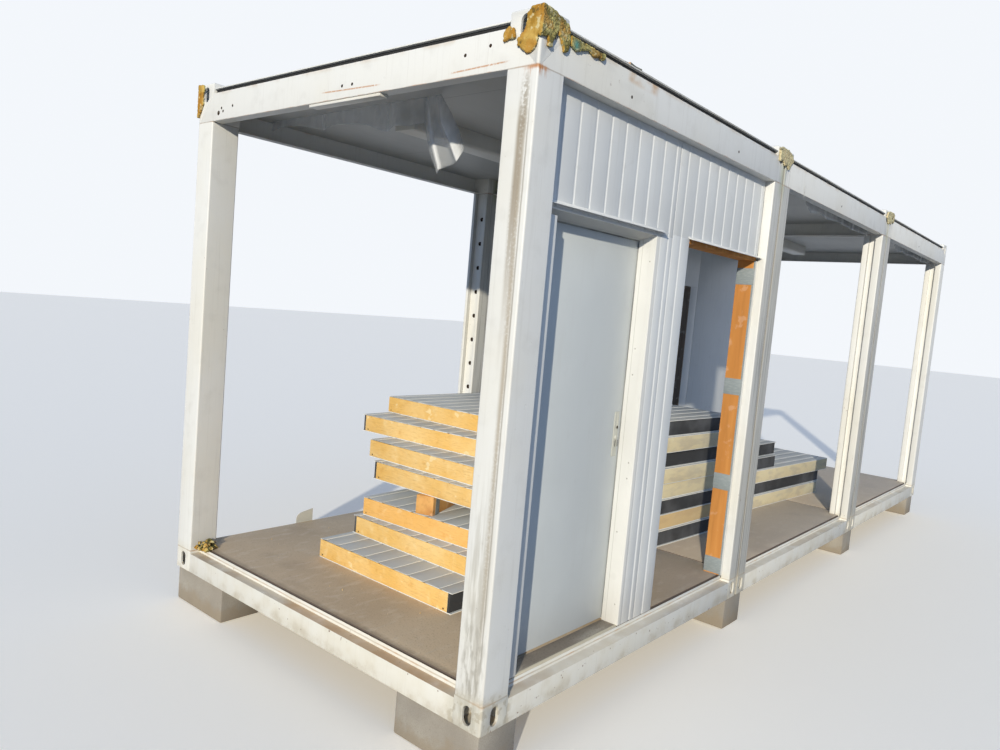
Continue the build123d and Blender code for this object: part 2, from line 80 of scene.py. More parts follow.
def add_node(tree, kind, settings, sockets):
    """Add a node to a tree: its settings first, then what its sockets get."""
    added = tree.nodes.new(kind)
    for key, setting in settings.items():
        setattr(added, key, setting)
    for key, value in sockets.items():
        feed(tree, added.inputs[key], value)
    return added


class Pattern:
    """A number that varies over a surface; arithmetic on it adds Math nodes to its tree."""

    def __init__(self, tree, socket):
        self.tree = tree
        self.socket = socket

    def maths(self, operation, *terms):
        added = add_node(self.tree, "ShaderNodeMath", {"operation": operation}, dict(enumerate(terms)))
        return Pattern(self.tree, added.outputs[0])

    def __add__(self, other):
        return self.maths("ADD", self, other)

    def __sub__(self, other):
        return self.maths("SUBTRACT", self, other)

    def __rsub__(self, other):
        return self.maths("SUBTRACT", other, self)

    def __mul__(self, other):
        return self.maths("MULTIPLY", self, other)

    def __neg__(self):
        return self.maths("SUBTRACT", 0.0, self)

    def __abs__(self):
        return self.maths("ABSOLUTE", self)

    __radd__ = __add__
    __rmul__ = __mul__

    def rise(self, low, high):
        """0 below low, 1 above high and smooth in between."""
        sockets = {"Value": self, "From Min": low, "From Max": high}
        added = add_node(self.tree, "ShaderNodeMapRange", {"interpolation_type": "SMOOTHSTEP"}, sockets)
        return Pattern(self.tree, added.outputs[0])

    def near(self, middle, reach):
        """1 at the middle and 0 past the reach on both sides."""
        return 1 - abs(self - middle).rise(0.0, reach)

    def inside(self, low, high, soft):
        """1 between low and high, with soft edges."""
        return self.rise(low - soft, low + soft) * (1 - self.rise(high - soft, high + soft))


class Finish:
    """A procedural material in layers, whose patterns are measured in metres.

    along, back and up are measured from the near front corner of the row, at the underside of its
    bottom casting.
    """

    def __init__(self, name, metallic=0.0, specular=0.5):
        self.material = bpy.data.materials.new(name)
        self.material.use_nodes = True
        self.tree = self.material.node_tree
        self.shader = self.tree.nodes["Principled BSDF"]
        self.shader.inputs["Metallic"].default_value = metallic
        self.shader.inputs["Specular IOR Level"].default_value = specular
        self.place = self.node("ShaderNodeTexCoord", {}, {}, "Object")
        self.x, self.y, self.z = self.split(self.place)
        self.along = self.x - end_x
        self.back = self.y - front_y
        self.up = self.z - base_z
        facing = self.node("ShaderNodeNewGeometry", {}, {}, "Normal")
        self.facing_x, self.facing_y, self.facing_z = self.split(facing)
        self.upright = 1 - abs(self.facing_z).rise(0.3, 0.7)

    def node(self, kind, settings, sockets, output=0):
        """Add a node and take one of its outputs as a pattern."""
        return Pattern(self.tree, add_node(self.tree, kind, settings, sockets).outputs[output])

    def split(self, vector):
        separate = self.node("ShaderNodeSeparateXYZ", {}, {"Vector": vector})
        return [Pattern(self.tree, output) for output in separate.socket.node.outputs]

    def noise(self, scale, detail=3.0, stretch=(1, 1, 1), shift=(0, 0, 0)):
        sockets = {"Vector": self.place, "Scale": stretch, "Location": shift}
        mapped = self.node("ShaderNodeMapping", {}, sockets)
        return self.node("ShaderNodeTexNoise", {}, {"Vector": mapped, "Scale": scale, "Detail": detail})

    def cells(self, scale, stretch=(1, 1, 1), feature="F1"):
        mapped = self.node("ShaderNodeMapping", {}, {"Vector": self.place, "Scale": stretch})
        return self.node("ShaderNodeTexVoronoi", {"feature": feature}, {"Vector": mapped, "Scale": scale})

    def mix(self, mask, underside_shade, over):
        """Colour: under where the mask is 0, over where it is 1."""
        colours = [shade if isinstance(shade, Pattern) else (*shade, 1.0) for shade in (underside_shade, over)]
        sockets = {0: mask, 6: colours[0], 7: colours[1]}
        return self.node("ShaderNodeMix", {"data_type": "RGBA"}, sockets, 2)

    def coat(self, mask, shade):
        """Lay a shade over the layers so far, where the mask is 1."""
        self.colour = self.mix(mask, self.colour, shade)

    def bump(self, height, distance):
        return self.node("ShaderNodeBump", {}, {"Height": height, "Distance": distance, "Strength": 1.0})

    def done(self, roughness, normal, alpha=1.0):
        """Feed the shader with the layers and give the material."""
        sockets = {"Base Color": self.colour, "Roughness": roughness, "Normal": normal, "Alpha": alpha}
        for name, value in sockets.items():
            feed(self.tree, self.shader.inputs[name], value)
        return self.material


def plain_mesh(name, built):
    """Mesh with the faces that were built up one by one."""
    plain = bpy.data.meshes.new(name)
    built.to_mesh(plain)
    built.free()
    return plain


def clean_copy(node):
    """Mesh of a CAD node with its triangles merged back to whole faces."""
    mesh = bmesh.new()
    mesh.from_mesh(nodes[node].data)
    bmesh.ops.remove_doubles(mesh, verts=mesh.verts, dist=0.00005)
    bmesh.ops.dissolve_limit(mesh, angle_limit=math.radians(1), verts=mesh.verts, edges=mesh.edges)
    return plain_mesh(node, mesh)


def new_piece(name, mesh, material):
    """Object at the origin with a mesh and one material."""
    piece = bpy.data.objects.new(name, mesh)
    bpy.context.scene.collection.objects.link(piece)
    piece.data.materials.clear()
    piece.data.materials.append(material)
    return piece


def apply_modifiers(piece):
    """Turn a piece with its modifiers into a plain mesh."""
    bpy.context.view_layer.update()
    evaluated = piece.evaluated_get(bpy.context.evaluated_depsgraph_get())
    plain = bpy.data.meshes.new_from_object(evaluated)
    piece.modifiers.clear()
    piece.data = plain
    return piece


def soften(piece, bevel):
    """Round the edges of a piece and shade its faces smoothly between the sharp ones."""
    rounded = piece.modifiers.new("edges", "BEVEL")
    rounded.width = bevel
    rounded.segments = 2
    rounded.limit_method = "ANGLE"
    rounded.angle_limit = math.radians(35)
    apply_modifiers(piece)
    piece.data.shade_smooth()
    piece.data.set_sharp_from_angle(angle=math.radians(28))


def fix(piece, body="frame"):
    """A finished piece rides on a body."""
    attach(piece, body)
    return piece


def dress(node, material, bevel, body="frame", reshape=None):
    """Stand a copy with rounded edges in for a CAD node; reshape changes its mesh first."""
    mesh = clean_copy(node)
    if reshape:
        reshape(mesh)
    piece = new_piece(node + "_dressed", mesh, material)
    soften(piece, bevel)
    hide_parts(node)
    return fix(piece, body)


def concrete_finish():
    finish = Finish("cast_concrete")
    cloud = finish.noise(3.0, 5.0)
    grain = finish.noise(260.0, 2.0)
    pores = finish.cells(55.0).rise(0.0, 0.16)
    finish.colour = finish.mix(cloud.rise(0.35, 0.7), (0.29, 0.26, 0.22), (0.41, 0.375, 0.32))
    finish.coat(0.35 * grain.rise(0.4, 0.7), (0.21, 0.185, 0.155))
    soil = (finish.noise(14.0, 4.0) - 4.0 * finish.z).rise(0.05, 0.4)
    finish.coat(0.6 * soil, (0.29, 0.23, 0.16))
    finish.coat(0.5 * (1 - pores), (0.13, 0.12, 0.11))
    height = 0.6 * pores + 0.3 * grain
    return finish.done(0.85 + 0.1 * cloud, finish.bump(height, 0.002))


dress("support_blocks", concrete_finish(), bevel=0.008)


# Steel frames of the modules: folded sheet posts and rails between welded corner castings, all
# painted white at the works. Years of stacking and handling left rust at the seams, rain marks under
# the castings, dirt on the bottom rails and long dark smears down the near corner post.

post_foot = near_post_low.z - base_z
post_head = near_post_high.z - base_z
rail_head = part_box("module_1_top_rails")[1].z - base_z
bottom_rail_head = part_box("module_1_bottom_rails")[1].z - base_z
joint_places = [
    (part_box(f"module_{number}_corner_posts")[1].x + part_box(f"module_{number + 1}_corner_posts")[0].x) / 2
    for number in (1, 2)
]
joint_gap = 0.0075
post_width = 0.118
dirt = (0.20, 0.165, 0.125)
rust = (0.46, 0.19, 0.055)


def smear_near_post(finish, end_face, streaks, fine_streaks, speckle, patches):
    """Grey-brown smears on the outer face of the near corner post, beside its edge, and scuffs below."""
    smear = (finish.back + 0.012 * (streaks - 0.5)).inside(0.040, 0.078, 0.010)
    smear = smear * finish.up.rise(1.35, 2.20) * (1 - finish.up.rise(2.36, 2.52))
    smear = smear * (streaks + 0.6 * fine_streaks + 0.7 * speckle).rise(0.62, 1.15)
    finish.coat(0.90 * end_face * smear, (0.30, 0.25, 0.185))
    tail = (finish.back + 0.010 * (streaks - 0.5)).near(0.040, 0.022)
    tail = tail * finish.up.inside(0.4, 2.2, 0.3) * (streaks + 0.6 * speckle).rise(0.40, 0.95)
    finish.coat(0.75 * end_face * tail, (0.34, 0.28, 0.20))
    dabs = finish.back.inside(0.036, 0.068, 0.012) * finish.up.inside(2.34, 2.55, 0.05)
    dabs = dabs * (speckle + 0.8 * streaks).rise(0.72, 1.02)
    finish.coat(0.78 * end_face * dabs, (0.30, 0.26, 0.20))
    edge_line = (finish.back + 0.004 * patches).near(0.028, 0.006) * finish.up.inside(0.3, 2.45, 0.15)
    finish.coat(0.62 * end_face * edge_line, dirt)
    scuffed = finish.back.inside(0.016, 0.125, 0.02) * (1 - finish.up.rise(0.55, 1.25))
    scuff = finish.noise(5.0, 5.0, stretch=(10, 10, 0.8)).rise(0.34, 0.62)
    finish.coat(0.55 * end_face * scuffed * scuff, (0.36, 0.335, 0.28))
    brushed = finish.noise(14.0, 5.0, stretch=(3, 3, 1)).rise(0.46, 0.62)
    low_scuff = scuffed * (1 - finish.up.rise(0.30, 0.62)) * brushed
    finish.coat(0.50 * end_face * low_scuff, (0.26, 0.24, 0.20))


def soil_joints(finish, front_face, streaks, patches):
    """Grime, black lines and a greenish stain that run down the paired posts from their castings, and
    painted shade on the post sides in the gaps between them.
    """
    marks = finish.noise(7.0, 5.0, stretch=(16, 4, 0.22)).rise(0.50, 0.62)
    grime_reach = joint_gap + post_width + 0.0045
    for joint in joint_places:
        grimy = finish.x.inside(joint, joint + grime_reach, 0.004)
        grimy = grimy + 0.80 * finish.x.inside(joint - grime_reach, joint, 0.004)
        grimy = grimy * front_face * (1 - finish.up.rise(post_head, post_head + 0.01))
        finish.coat(0.62 * grimy, (0.34, 0.335, 0.31))
        finish.coat(0.78 * finish.x.near(joint, 0.17) * front_face * marks, (0.17, 0.165, 0.15))
        # Painted shade: the post sides in the gap between the modules are painted dark
        gap_shade = 1 - abs(finish.x - joint).rise(joint_gap + 0.002, joint_gap + 0.004)
        finish.coat(0.85 * gap_shade * abs(finish.facing_x).rise(0.4, 0.7), (0.15, 0.14, 0.12))
        moss = finish.x.near(joint - 0.02, 0.075) * finish.up.inside(2.52, 2.74, 0.06)
        moss = moss * front_face * (streaks + 0.3 * patches).rise(0.42, 0.70)
        finish.coat(0.7 * moss, (0.33, 0.36, 0.22))


def rust_seams(finish, end_face, front_face, patches, speckle):
    """Rust at the seams between posts and castings, on the top rails' edges and in two scratches."""
    ragged = finish.noise(16.0, 4.0).rise(0.45, 0.7)
    wander = 0.006 * (patches - 0.5)
    seams = (finish.up + wander).near(post_foot, 0.006) + (finish.up + wander).near(post_head, 0.0045)
    seams = seams * finish.upright
    finish.coat(0.6 * seams, (0.28, 0.225, 0.165))
    finish.coat(0.7 * seams * ragged, rust)
    at_corner = 1 - (abs(finish.along) + abs(finish.back)).rise(0.01, 0.085)
    corner_rust = at_corner * (finish.up + 2 * wander).near(post_head - 0.004, 0.013)
    drips = at_corner * finish.up.near(post_head - 0.015, 0.032)
    drips = drips * finish.noise(9.0, 5.0, stretch=(18, 18, 1.2), shift=(0, 2, 0)).rise(0.50, 0.60)
    corner_rust = corner_rust * patches.rise(0.25, 0.50) + 0.8 * drips
    finish.coat(0.9 * corner_rust * finish.upright, rust)
    foot_rust = at_corner * finish.up.near(post_foot, 0.02)
    finish.coat(0.7 * foot_rust * ragged, (0.52, 0.27, 0.10))
    rail_edge = (finish.up - 0.010 * (patches - 0.5)).near(rail_head, 0.024) * finish.upright
    finish.coat(0.42 * rail_edge * patches.rise(0.40, 0.68), (0.50, 0.36, 0.22))
    board_stain = finish.along.inside(0.62, 0.86, 0.03) * finish.up.inside(2.70, 2.76, 0.012)
    finish.coat(0.75 * board_stain * front_face * patches.rise(0.35, 0.6), (0.50, 0.30, 0.14))
    for height, start, end, slope in ((2.620, 0.90, 1.29, 0.024), (2.618, 0.16, 0.44, -0.022)):
        line = finish.up - (finish.back - start) * slope + 0.003 * (patches - 0.5)
        scratch = line.near(height, 0.0055) * finish.back.inside(start, end, 0.03) * speckle.rise(0.30, 0.5)
        finish.coat(0.85 * end_face * scratch, rust)


def soil_low_parts(finish, low, patches, speckle):
    """Dirt and worn paint on the bottom rails and castings, and rusty soil lying on the ledges."""
    finish.coat(0.22 * low, (0.66, 0.60, 0.44))
    finish.coat(0.26 * low * patches.rise(0.35, 0.70), (0.60, 0.53, 0.39))
    near_corner = 1 - (abs(finish.along) + abs(finish.back)).rise(0.16, 0.20)
    crusts = finish.noise(30.0, 5.0).rise(0.52, 0.62)
    finish.coat(0.55 * low * near_corner * crusts, (0.33, 0.27, 0.18))
    finish.coat(0.35 * low * near_corner, (0.46, 0.44, 0.36))
    splash = 1 - (finish.up - 0.07 * (patches - 0.5)).rise(0.01, 0.06)
    finish.coat(0.38 * splash * (patches + 0.3 * speckle).rise(0.50, 0.85), (0.40, 0.34, 0.25))
    level = finish.facing_z.rise(0.4, 0.8)
    ledge = level * (1 - finish.up.rise(bottom_rail_head + 0.01, bottom_rail_head + 0.02))
    ledge = ledge * (1 - 0.5 * finish.along.rise(0.15, 0.40))
    finish.coat(0.72 * ledge * patches.rise(0.2, 0.5), (0.47, 0.385, 0.27))
    soil = finish.noise(2.2, 4.0, stretch=(1, 1.4, 1))
    finish.coat(0.52 * ledge * soil.rise(0.50, 0.60), (0.33, 0.215, 0.12))
    sunny_side = finish.back.inside(0.2, 1.35, 0.06) * (1 - finish.along.rise(0.1, 0.15))
    finish.coat(0.55 * ledge * sunny_side, (0.46, 0.27, 0.12))
    top = level * finish.up.rise(post_head, post_head + 0.02)
    finish.coat(0.45 * top * patches.rise(0.35, 0.65), (0.45, 0.40, 0.31))


def frame_finish():
    finish = Finish("painted_steel_frame", specular=0.4)
    grey = (0.36, 0.34, 0.30)
    cloud = finish.noise(1.6, 4.0)
    patches = finish.noise(10.0, 5.0)
    speckle = finish.noise(90.0, 3.0)
    streaks = finish.noise(6.0, 5.0, stretch=(7, 7, 0.35))
    fine_streaks = finish.noise(9.0, 4.0, stretch=(16, 16, 0.25))
    end_face = (-finish.facing_x).rise(0.5, 0.8) * (1 - finish.along.rise(0.02, 0.04))
    front_face = (-finish.facing_y).rise(0.5, 0.8)
    finish.colour = finish.mix(0.35 * cloud.rise(0.4, 0.7), (0.735, 0.735, 0.715), (0.70, 0.66, 0.55))
    finish.coat(0.16 * patches.rise(0.5, 0.8), grey)
    rain = streaks.rise(0.55, 0.8) * finish.upright
    finish.coat(0.14 * rain, grey)
    finish.coat(0.10 * fine_streaks.rise(0.6, 0.75) * finish.upright, dirt)
    smear_near_post(finish, end_face, streaks, fine_streaks, speckle, patches)
    soil_joints(finish, front_face, streaks, patches)
    rust_seams(finish, end_face, front_face, patches, speckle)
    low = 1 - finish.up.rise(post_foot - 0.02, post_foot + 0.06)
    soil_low_parts(finish, low, patches, speckle)

    # Chips where the primer and the steel show
    chips = finish.noise(42.0, 4.0).rise(0.70, 0.73)
    finish.coat(0.7 * chips * (0.6 * cloud.rise(0.5, 0.65) + low), (0.17, 0.08, 0.04))
    height = 0.5 * finish.noise(4.0, 2.0) + 0.05 * speckle - 0.25 * chips
    return finish.done(0.42 + 0.2 * cloud + 0.2 * rain, finish.bump(height, 0.0025))


# The grooves of the rear posts at the first joint are wider than those of the other posts, and so are
# the bolt holes in their floors. The walls: how far each stands from the rear, and how far it shifts.
groove_depth = 0.034
groove_walls = ((0.055, 0.027), (0.107, -0.017))
groove_middle = front_y + 2.369
groove_reach = joint_gap + post_width - groove_depth
first_hole = base_z + 2.386
hole_pitch = 0.193
hole_growth = 1.22
hole_edge = 0.0145


def widen_groove(mesh):
    """Shift the walls of a rear post's groove and grow the holes in its floor."""
    for vert in mesh.vertices:
        from_joint = abs(vert.co.x - joint_places[0])
        if not groove_reach - 0.006 < from_joint < groove_reach + groove_depth + 0.001:
            continue
        for wall, shift in groove_walls:
            if abs(near_post_high.y - vert.co.y - wall) < 0.006:
                vert.co.y += shift
        if abs(vert.co.y - groove_middle) < hole_edge and from_joint < groove_reach + 0.001:
            hole_height = first_hole - round((first_hole - vert.co.z) / hole_pitch) * hole_pitch
            vert.co.y = groove_middle + hole_growth * (vert.co.y - groove_middle)
            vert.co.z = hole_height + hole_growth * (vert.co.z - hole_height)


frame_paint = frame_finish()
for number in (1, 2, 3):
    dress(f"module_{number}_corner_posts", frame_paint, bevel=0.0015,
          reshape=widen_groove if number < 3 else None)
    for part, bevel in (("bottom_castings", 0.005), ("bottom_rails", 0.0015),
                        ("top_rails", 0.0012), ("top_castings", 0.002)):
        dress(f"module_{number}_{part}", frame_paint, bevel=bevel)


# Bolt holes: small drilled holes in the webs of the top rails, where stairs and awnings have been
# screwed on. Each is a flat black disc mottled dark brown, which paints the shade inside the hole.

def spot(along, back, up):
    """Place in the part's frame, from the near front corner at the underside of its bottom casting."""
    return Vector((end_x + along, front_y + back, base_z + up))


class Recipe:
    """A tree of geometry nodes with named sizes, run on a piece that then is a plain mesh."""

    def __init__(self, name, material, sizes):
        self.tree = bpy.data.node_groups.new(name, "GeometryNodeTree")
        self.material = material
        self.sizes = sizes
        face = self.tree.interface
        face.new_socket("Geometry", in_out="INPUT", socket_type="NodeSocketGeometry")
        face.new_socket("Geometry", in_out="OUTPUT", socket_type="NodeSocketGeometry")
        for size, value in sizes.items():
            kind = "NodeSocketInt" if isinstance(value, int) else "NodeSocketFloat"
            face.new_socket(size, in_out="INPUT", socket_type=kind)
        self.given = self.tree.nodes.new("NodeGroupInput")
        self.result = self.tree.nodes.new("NodeGroupOutput")
        self.base = self.given.outputs["Geometry"]

    def size(self, name):
        return self.given.outputs[name]

    def node(self, kind, settings, sockets, output=0):
        """Add a node and take one of its outputs."""
        return add_node(self.tree, kind, settings, sockets).outputs[output]

    def vector(self, operation, sockets):
        return self.node("ShaderNodeVectorMath", {"operation": operation}, sockets)

    def scatter(self, **more):
        """Random points on the faces of the mesh, by the sizes named density and seed."""
        sockets = {"Mesh": self.base, "Density": self.size("density"), "Seed": self.size("seed"), **more}
        return self.node("GeometryNodeDistributePointsOnFaces", {}, sockets)

    def place(self, part, points, **more):
        """A copy of a part on each point."""
        sockets = {"Points": points, "Instance": part, **more}
        return self.node("GeometryNodeInstanceOnPoints", {}, sockets)

    def chance(self, low, high, seed):
        """A random number for each point."""
        sockets = {2: low, 3: high, "Seed": seed}
        return self.node("FunctionNodeRandomValue", {"data_type": "FLOAT"}, sockets, 1)

    def serve(self, geometry):
        """End the tree: whole geometry with its material."""
        whole = self.node("GeometryNodeRealizeInstances", {}, {0: geometry})
        painted = self.node("GeometryNodeSetMaterial", {}, {"Geometry": whole, "Material": self.material})
        self.tree.links.new(painted, self.result.inputs[0])
        return self

    def cook(self, name, mesh, **changed):
        """Make a piece by running the tree on a mesh, with its sizes as they are or changed."""
        piece = new_piece(name, mesh, self.material)
        modifier = piece.modifiers.new("recipe", "NODES")
        modifier.node_group = self.tree
        for item in self.tree.interface.items_tree:
            if item.in_out == "INPUT" and item.name in self.sizes:
                modifier[item.identifier] = changed.get(item.name, self.sizes[item.name])
        apply_modifiers(piece)
        piece.data.shade_smooth()
        return piece


def heads_recipe(name, material, facing):
    """Flattened round heads on loose points; facing turns them from +Z to the face they sit on."""
    recipe = Recipe(name, material, {"radius": 0.006, "flatness": 0.4})
    ball = recipe.node("GeometryNodeMeshUVSphere", {}, {
        "Segments": 12, "Rings": 6, "Radius": recipe.size("radius")})
    squeeze = recipe.node("ShaderNodeCombineXYZ", {}, {0: 1.0, 1: 1.0, 2: recipe.size("flatness")})
    flat = recipe.node("GeometryNodeTransform", {}, {"Geometry": ball, "Scale": squeeze})
    turned = recipe.node("GeometryNodeTransform", {}, {"Geometry": flat, "Rotation": facing})
    return recipe.serve(recipe.place(turned, recipe.base))


def heads_on(name, recipe, places, slot, body="frame", **sizes):
    """One piece of heads from a recipe, at the places given."""
    mesh = bpy.data.meshes.new(name)
    mesh.from_pydata([tuple(place) for place in places], [], [])
    return fix(recipe.cook(name, mesh, **sizes), body)


def plain_finish(name, shades, scale, spread, roughness, relief, detail=3.0, stretch=(1, 1, 1),
                 specular=0.5):
    """Two shades that drift into each other over a grain, which also varies the gloss and relief."""
    finish = Finish(name, specular=specular)
    grain = finish.noise(scale, detail, stretch=stretch)
    finish.colour = finish.mix(grain.rise(*spread), *shades)
    return finish.done(roughness[0] + roughness[1] * grain, finish.bump(grain, relief))


toward_front = (math.pi / 2, 0.0, 0.0)
toward_end = (0.0, -math.pi / 2, 0.0)
# Painted shade: black with dark brown mottling, for the insides of holes, and for the rose marks
hole_black = plain_finish("painted_hole_shade_and_marks", ((0.012, 0.011, 0.010), (0.07, 0.035, 0.018)), scale=180.0,
                          spread=(0.4, 0.7), roughness=(0.8, 0.1), relief=0.0005, specular=0.2)
end_holes = heads_recipe("holes_in_end_faces", hole_black, toward_end)
front_holes = heads_recipe("holes_in_front_faces", hole_black, toward_front)
end_hole_places = [spot(0, back, up) for back, up in (
    (2.210, 2.652), (2.193, 2.634), (2.097, 2.654), (1.152, 2.645), (1.079, 2.645), (0.376, 2.671),
    (0.245, 2.689))]
front_hole_places = [spot(along, 0, up) for along, up in (
    (0.653, 2.640), (1.782, 2.645), (3.62, 2.640), (6.10, 2.640))]
bolt_hole = {"radius": 0.0075, "flatness": 0.06}
large_hole = {"radius": 0.013, "flatness": 0.04}
heads_on("end_rail_bolt_holes", end_holes, end_hole_places, "frame_paint", **bolt_hole)
heads_on("end_rail_large_hole", end_holes, [spot(0, 2.239, 2.628)], "frame_paint", **large_hole)
heads_on("front_rail_bolt_holes", front_holes, front_hole_places, "frame_paint", **bolt_hole)

# Flat black discs in the round holes in the grooves of the rear posts at the joints paint the shade inside
# them
holes_in_post = 12
groove_holes = (("post_groove_hole_shade_discs", joint_places[0], 0.0168),
                ("far_groove_hole_shade_discs", joint_places[1], 0.0138))
for name, joint, radius in groove_holes:
    insides = []
    for floor_x in (joint - groove_reach + 0.002, joint + groove_reach - 0.002):
        for index in range(holes_in_post):
            insides.append(Vector((floor_x, groove_middle, first_hole - index * hole_pitch)))
    heads_on(name, end_holes, insides, "frame_paint", radius=radius, flatness=0.04)


# Foam on the corners: hardened mounting foam that was sprayed into the gaps between the stacked
# modules and torn off with them. Painted light: its end faces are gold as if in the sun and its other
# faces olive as if in shade, with dark cracks and hollows as painted shade.

def foam_finish():
    finish = Finish("hardened_mounting_foam", specular=0.2)
    cloud = finish.noise(22.0, 5.0)
    grain = finish.noise(150.0, 5.0)
    shaded_cracks = 1 - finish.cells(85.0, feature="DISTANCE_TO_EDGE").rise(0.01, 0.10)
    sunny = finish.mix(cloud.rise(0.35, 0.65), (0.36, 0.20, 0.03), (0.58, 0.38, 0.10))
    shaded = finish.mix(cloud.rise(0.42, 0.60), (0.20, 0.17, 0.055), (0.56, 0.50, 0.20))
    browned = finish.noise(13.0, 4.0, shift=(1, 5, 2)).rise(0.50, 0.58)
    shaded = finish.mix(0.75 * browned, shaded, (0.48, 0.27, 0.07))
    sunny = finish.mix(0.5 * browned, sunny, (0.40, 0.17, 0.02))
    # Painted light: faces turned to the open end take the sunlit colours, the others the shaded ones
    on_end = (-finish.facing_x).rise(0.3, 0.7)
    finish.colour = finish.mix(on_end, shaded, sunny)
    finish.coat(0.7 * finish.along.rise(1.0, 1.2), (0.74, 0.68, 0.46))
    # Painted shade in the cracks, kept mostly to the shaded side
    shaded_cracks = shaded_cracks * (1 - 0.9 * on_end)
    finish.coat(0.45 * shaded_cracks, (0.06, 0.05, 0.02))
    pale = finish.noise(34.0, 4.0, shift=(3, 1, 2)).rise(0.56, 0.64)
    finish.coat(0.6 * pale, (0.72, 0.66, 0.40))
    # Painted shade in hollows of the foam
    hollow_shade = finish.noise(26.0, 5.0, shift=(6, 2, 5)).rise(0.60, 0.66)
    finish.coat(0.7 * hollow_shade, (0.075, 0.060, 0.025))
    teal = finish.along.near(0.205, 0.032) * finish.up.near(2.715, 0.03)
    finish.coat(0.9 * teal * cloud.rise(0.35, 0.5), (0.10, 0.36, 0.33))
    height = cloud + 0.5 * grain - 0.5 * shaded_cracks
    return finish.done(0.85 + 0.1 * grain, finish.bump(height, 0.003))


def lumps_recipe(material):
    """Foam grown over flat patches: points just under their skin, swollen and joined to one lump."""
    recipe = Recipe("grown_foam", material, {
        "density": 30000.0, "depth": 0.0072, "thin": 0.0056, "thick": 0.0070, "grain": 0.0030, "seed": 4})
    points = recipe.scatter()
    inward = recipe.vector("SCALE", {0: points.node.outputs["Normal"], "Scale": -1.0})
    sunk = recipe.vector("SCALE", {0: inward, "Scale": recipe.size("depth")})
    moved = recipe.node("GeometryNodeSetPosition", {}, {"Geometry": points, "Offset": sunk})
    radius = recipe.chance(recipe.size("thin"), recipe.size("thick"), 9)
    cloud = recipe.node("GeometryNodePointsToVolume", {"resolution_mode": "VOXEL_SIZE"}, {
        "Points": moved, "Voxel Size": recipe.size("grain"), "Radius": radius})
    lump = recipe.node("GeometryNodeVolumeToMesh", {"resolution_mode": "GRID"}, {"Volume": cloud})
    place = recipe.node("GeometryNodeInputPosition", {}, {})
    low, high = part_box("casting_foam")
    raised = recipe.vector("MAXIMUM", {0: place, 1: low})
    held = recipe.vector("MINIMUM", {0: raised, 1: high})
    trimmed = recipe.node("GeometryNodeSetPosition", {}, {"Geometry": lump, "Position": held})
    return recipe.serve(trimmed)


foam_material = foam_finish()
foam = lumps_recipe(foam_material).cook("casting_foam_lumps", clean_copy("casting_foam"))
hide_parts("casting_foam")
fix(foam)


# Floors: a worn grey-brown vinyl covering glued to a board that lies over the joint rails. Feet and
# pallets have scuffed it, and wet soil has dried on it near the open sides.

def floor_finish():
    finish = Finish("worn_vinyl_floor", specular=0.35)
    cloud = finish.noise(1.3, 5.0)
    scuffs = finish.noise(9.0, 6.0, stretch=(1, 2.2, 1))
    grit = finish.noise(120.0, 3.0)
    finish.colour = finish.mix(cloud.rise(0.35, 0.65), (0.48, 0.365, 0.24), (0.58, 0.455, 0.31))
    finish.coat(0.5 * scuffs.rise(0.5, 0.75), (0.66, 0.56, 0.43))
    finish.coat(0.35 * grit.rise(0.55, 0.7), (0.26, 0.185, 0.12))
    stains = finish.noise(2.4, 6.0, shift=(4, 1, 0)).rise(0.55, 0.72)
    finish.coat(0.45 * stains, (0.31, 0.225, 0.15))
    scratches = finish.noise(5.0, 5.0, stretch=(0.6, 9, 1), shift=(1, 7, 0)).rise(0.66, 0.72)
    finish.coat(0.3 * scratches, (0.48, 0.44, 0.37))
    rim = 1 - (finish.along + 0.03 * (scuffs - 0.5)).rise(0.075, 0.115)
    finish.coat(0.55 * rim, (0.19, 0.15, 0.11))
    finish.coat(0.40 * finish.along.rise(1.2, 2.6), (0.44, 0.42, 0.40))
    level = abs(finish.facing_z).rise(0.3, 0.8)
    finish.colour = finish.mix(level, (0.13, 0.10, 0.08), finish.colour)
    return finish.done(0.45 + 0.35 * cloud, finish.bump(grit + 0.4 * scuffs, 0.0012))


floor_cover = floor_finish()
for number in (1, 2, 3):
    dress(f"module_{number}_floor", floor_cover, bevel=0.001)


# Ceilings: wide coated steel cassettes fixed under the upper flanges of the top rails. Fine joints
# run across each module. The white sheet is painted mid grey as painted shade, with darker smears of dust
# and finger marks.

def ceiling_finish():
    finish = Finish("ceiling_sheet_painted_shade_grey", specular=0.45)
    cloud = finish.noise(1.1, 3.0)
    smears = finish.noise(5.0, 5.0, stretch=(1, 3, 1))
    # Painted shade: the white sheet is given a mid grey
    finish.colour = finish.mix(cloud.rise(0.35, 0.65), (0.44, 0.44, 0.42), (0.50, 0.50, 0.48))
    finish.coat(0.25 * smears.rise(0.55, 0.8), (0.34, 0.33, 0.30))
    joints = 0
    for number in (1, 2, 3):
        low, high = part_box(f"module_{number}_ceiling")
        for share in (0.2, 0.575, 0.95):
            joints = joints + finish.x.near(low.x + share * (high.x - low.x), 0.004)
    finish.coat(0.6 * joints, (0.12, 0.12, 0.115))
    ripple = finish.noise(3.0, 1.0, stretch=(0.5, 4, 1))
    return finish.done(0.38 + 0.2 * smears, finish.bump(ripple - 0.3 * joints, 0.002))


ceiling_sheet = ceiling_finish()
for number in (1, 2, 3):
    dress(f"module_{number}_ceiling", ceiling_sheet, bevel=0.001)


# Roofs: a thin light steel sheet with low standing seams that stands on a set-back foot over the top
# rails. The foot is painted near black as painted shade under the sheet's edge, and shows as a dark band.
# The ends of the seams are folded flat at the eaves, and dust and dried puddles have dulled the top.

roof_sheet_foot = rail_head + 0.022
roof_sheet_top = roof_sheet_foot + 0.006
seam_end_reach = 0.22


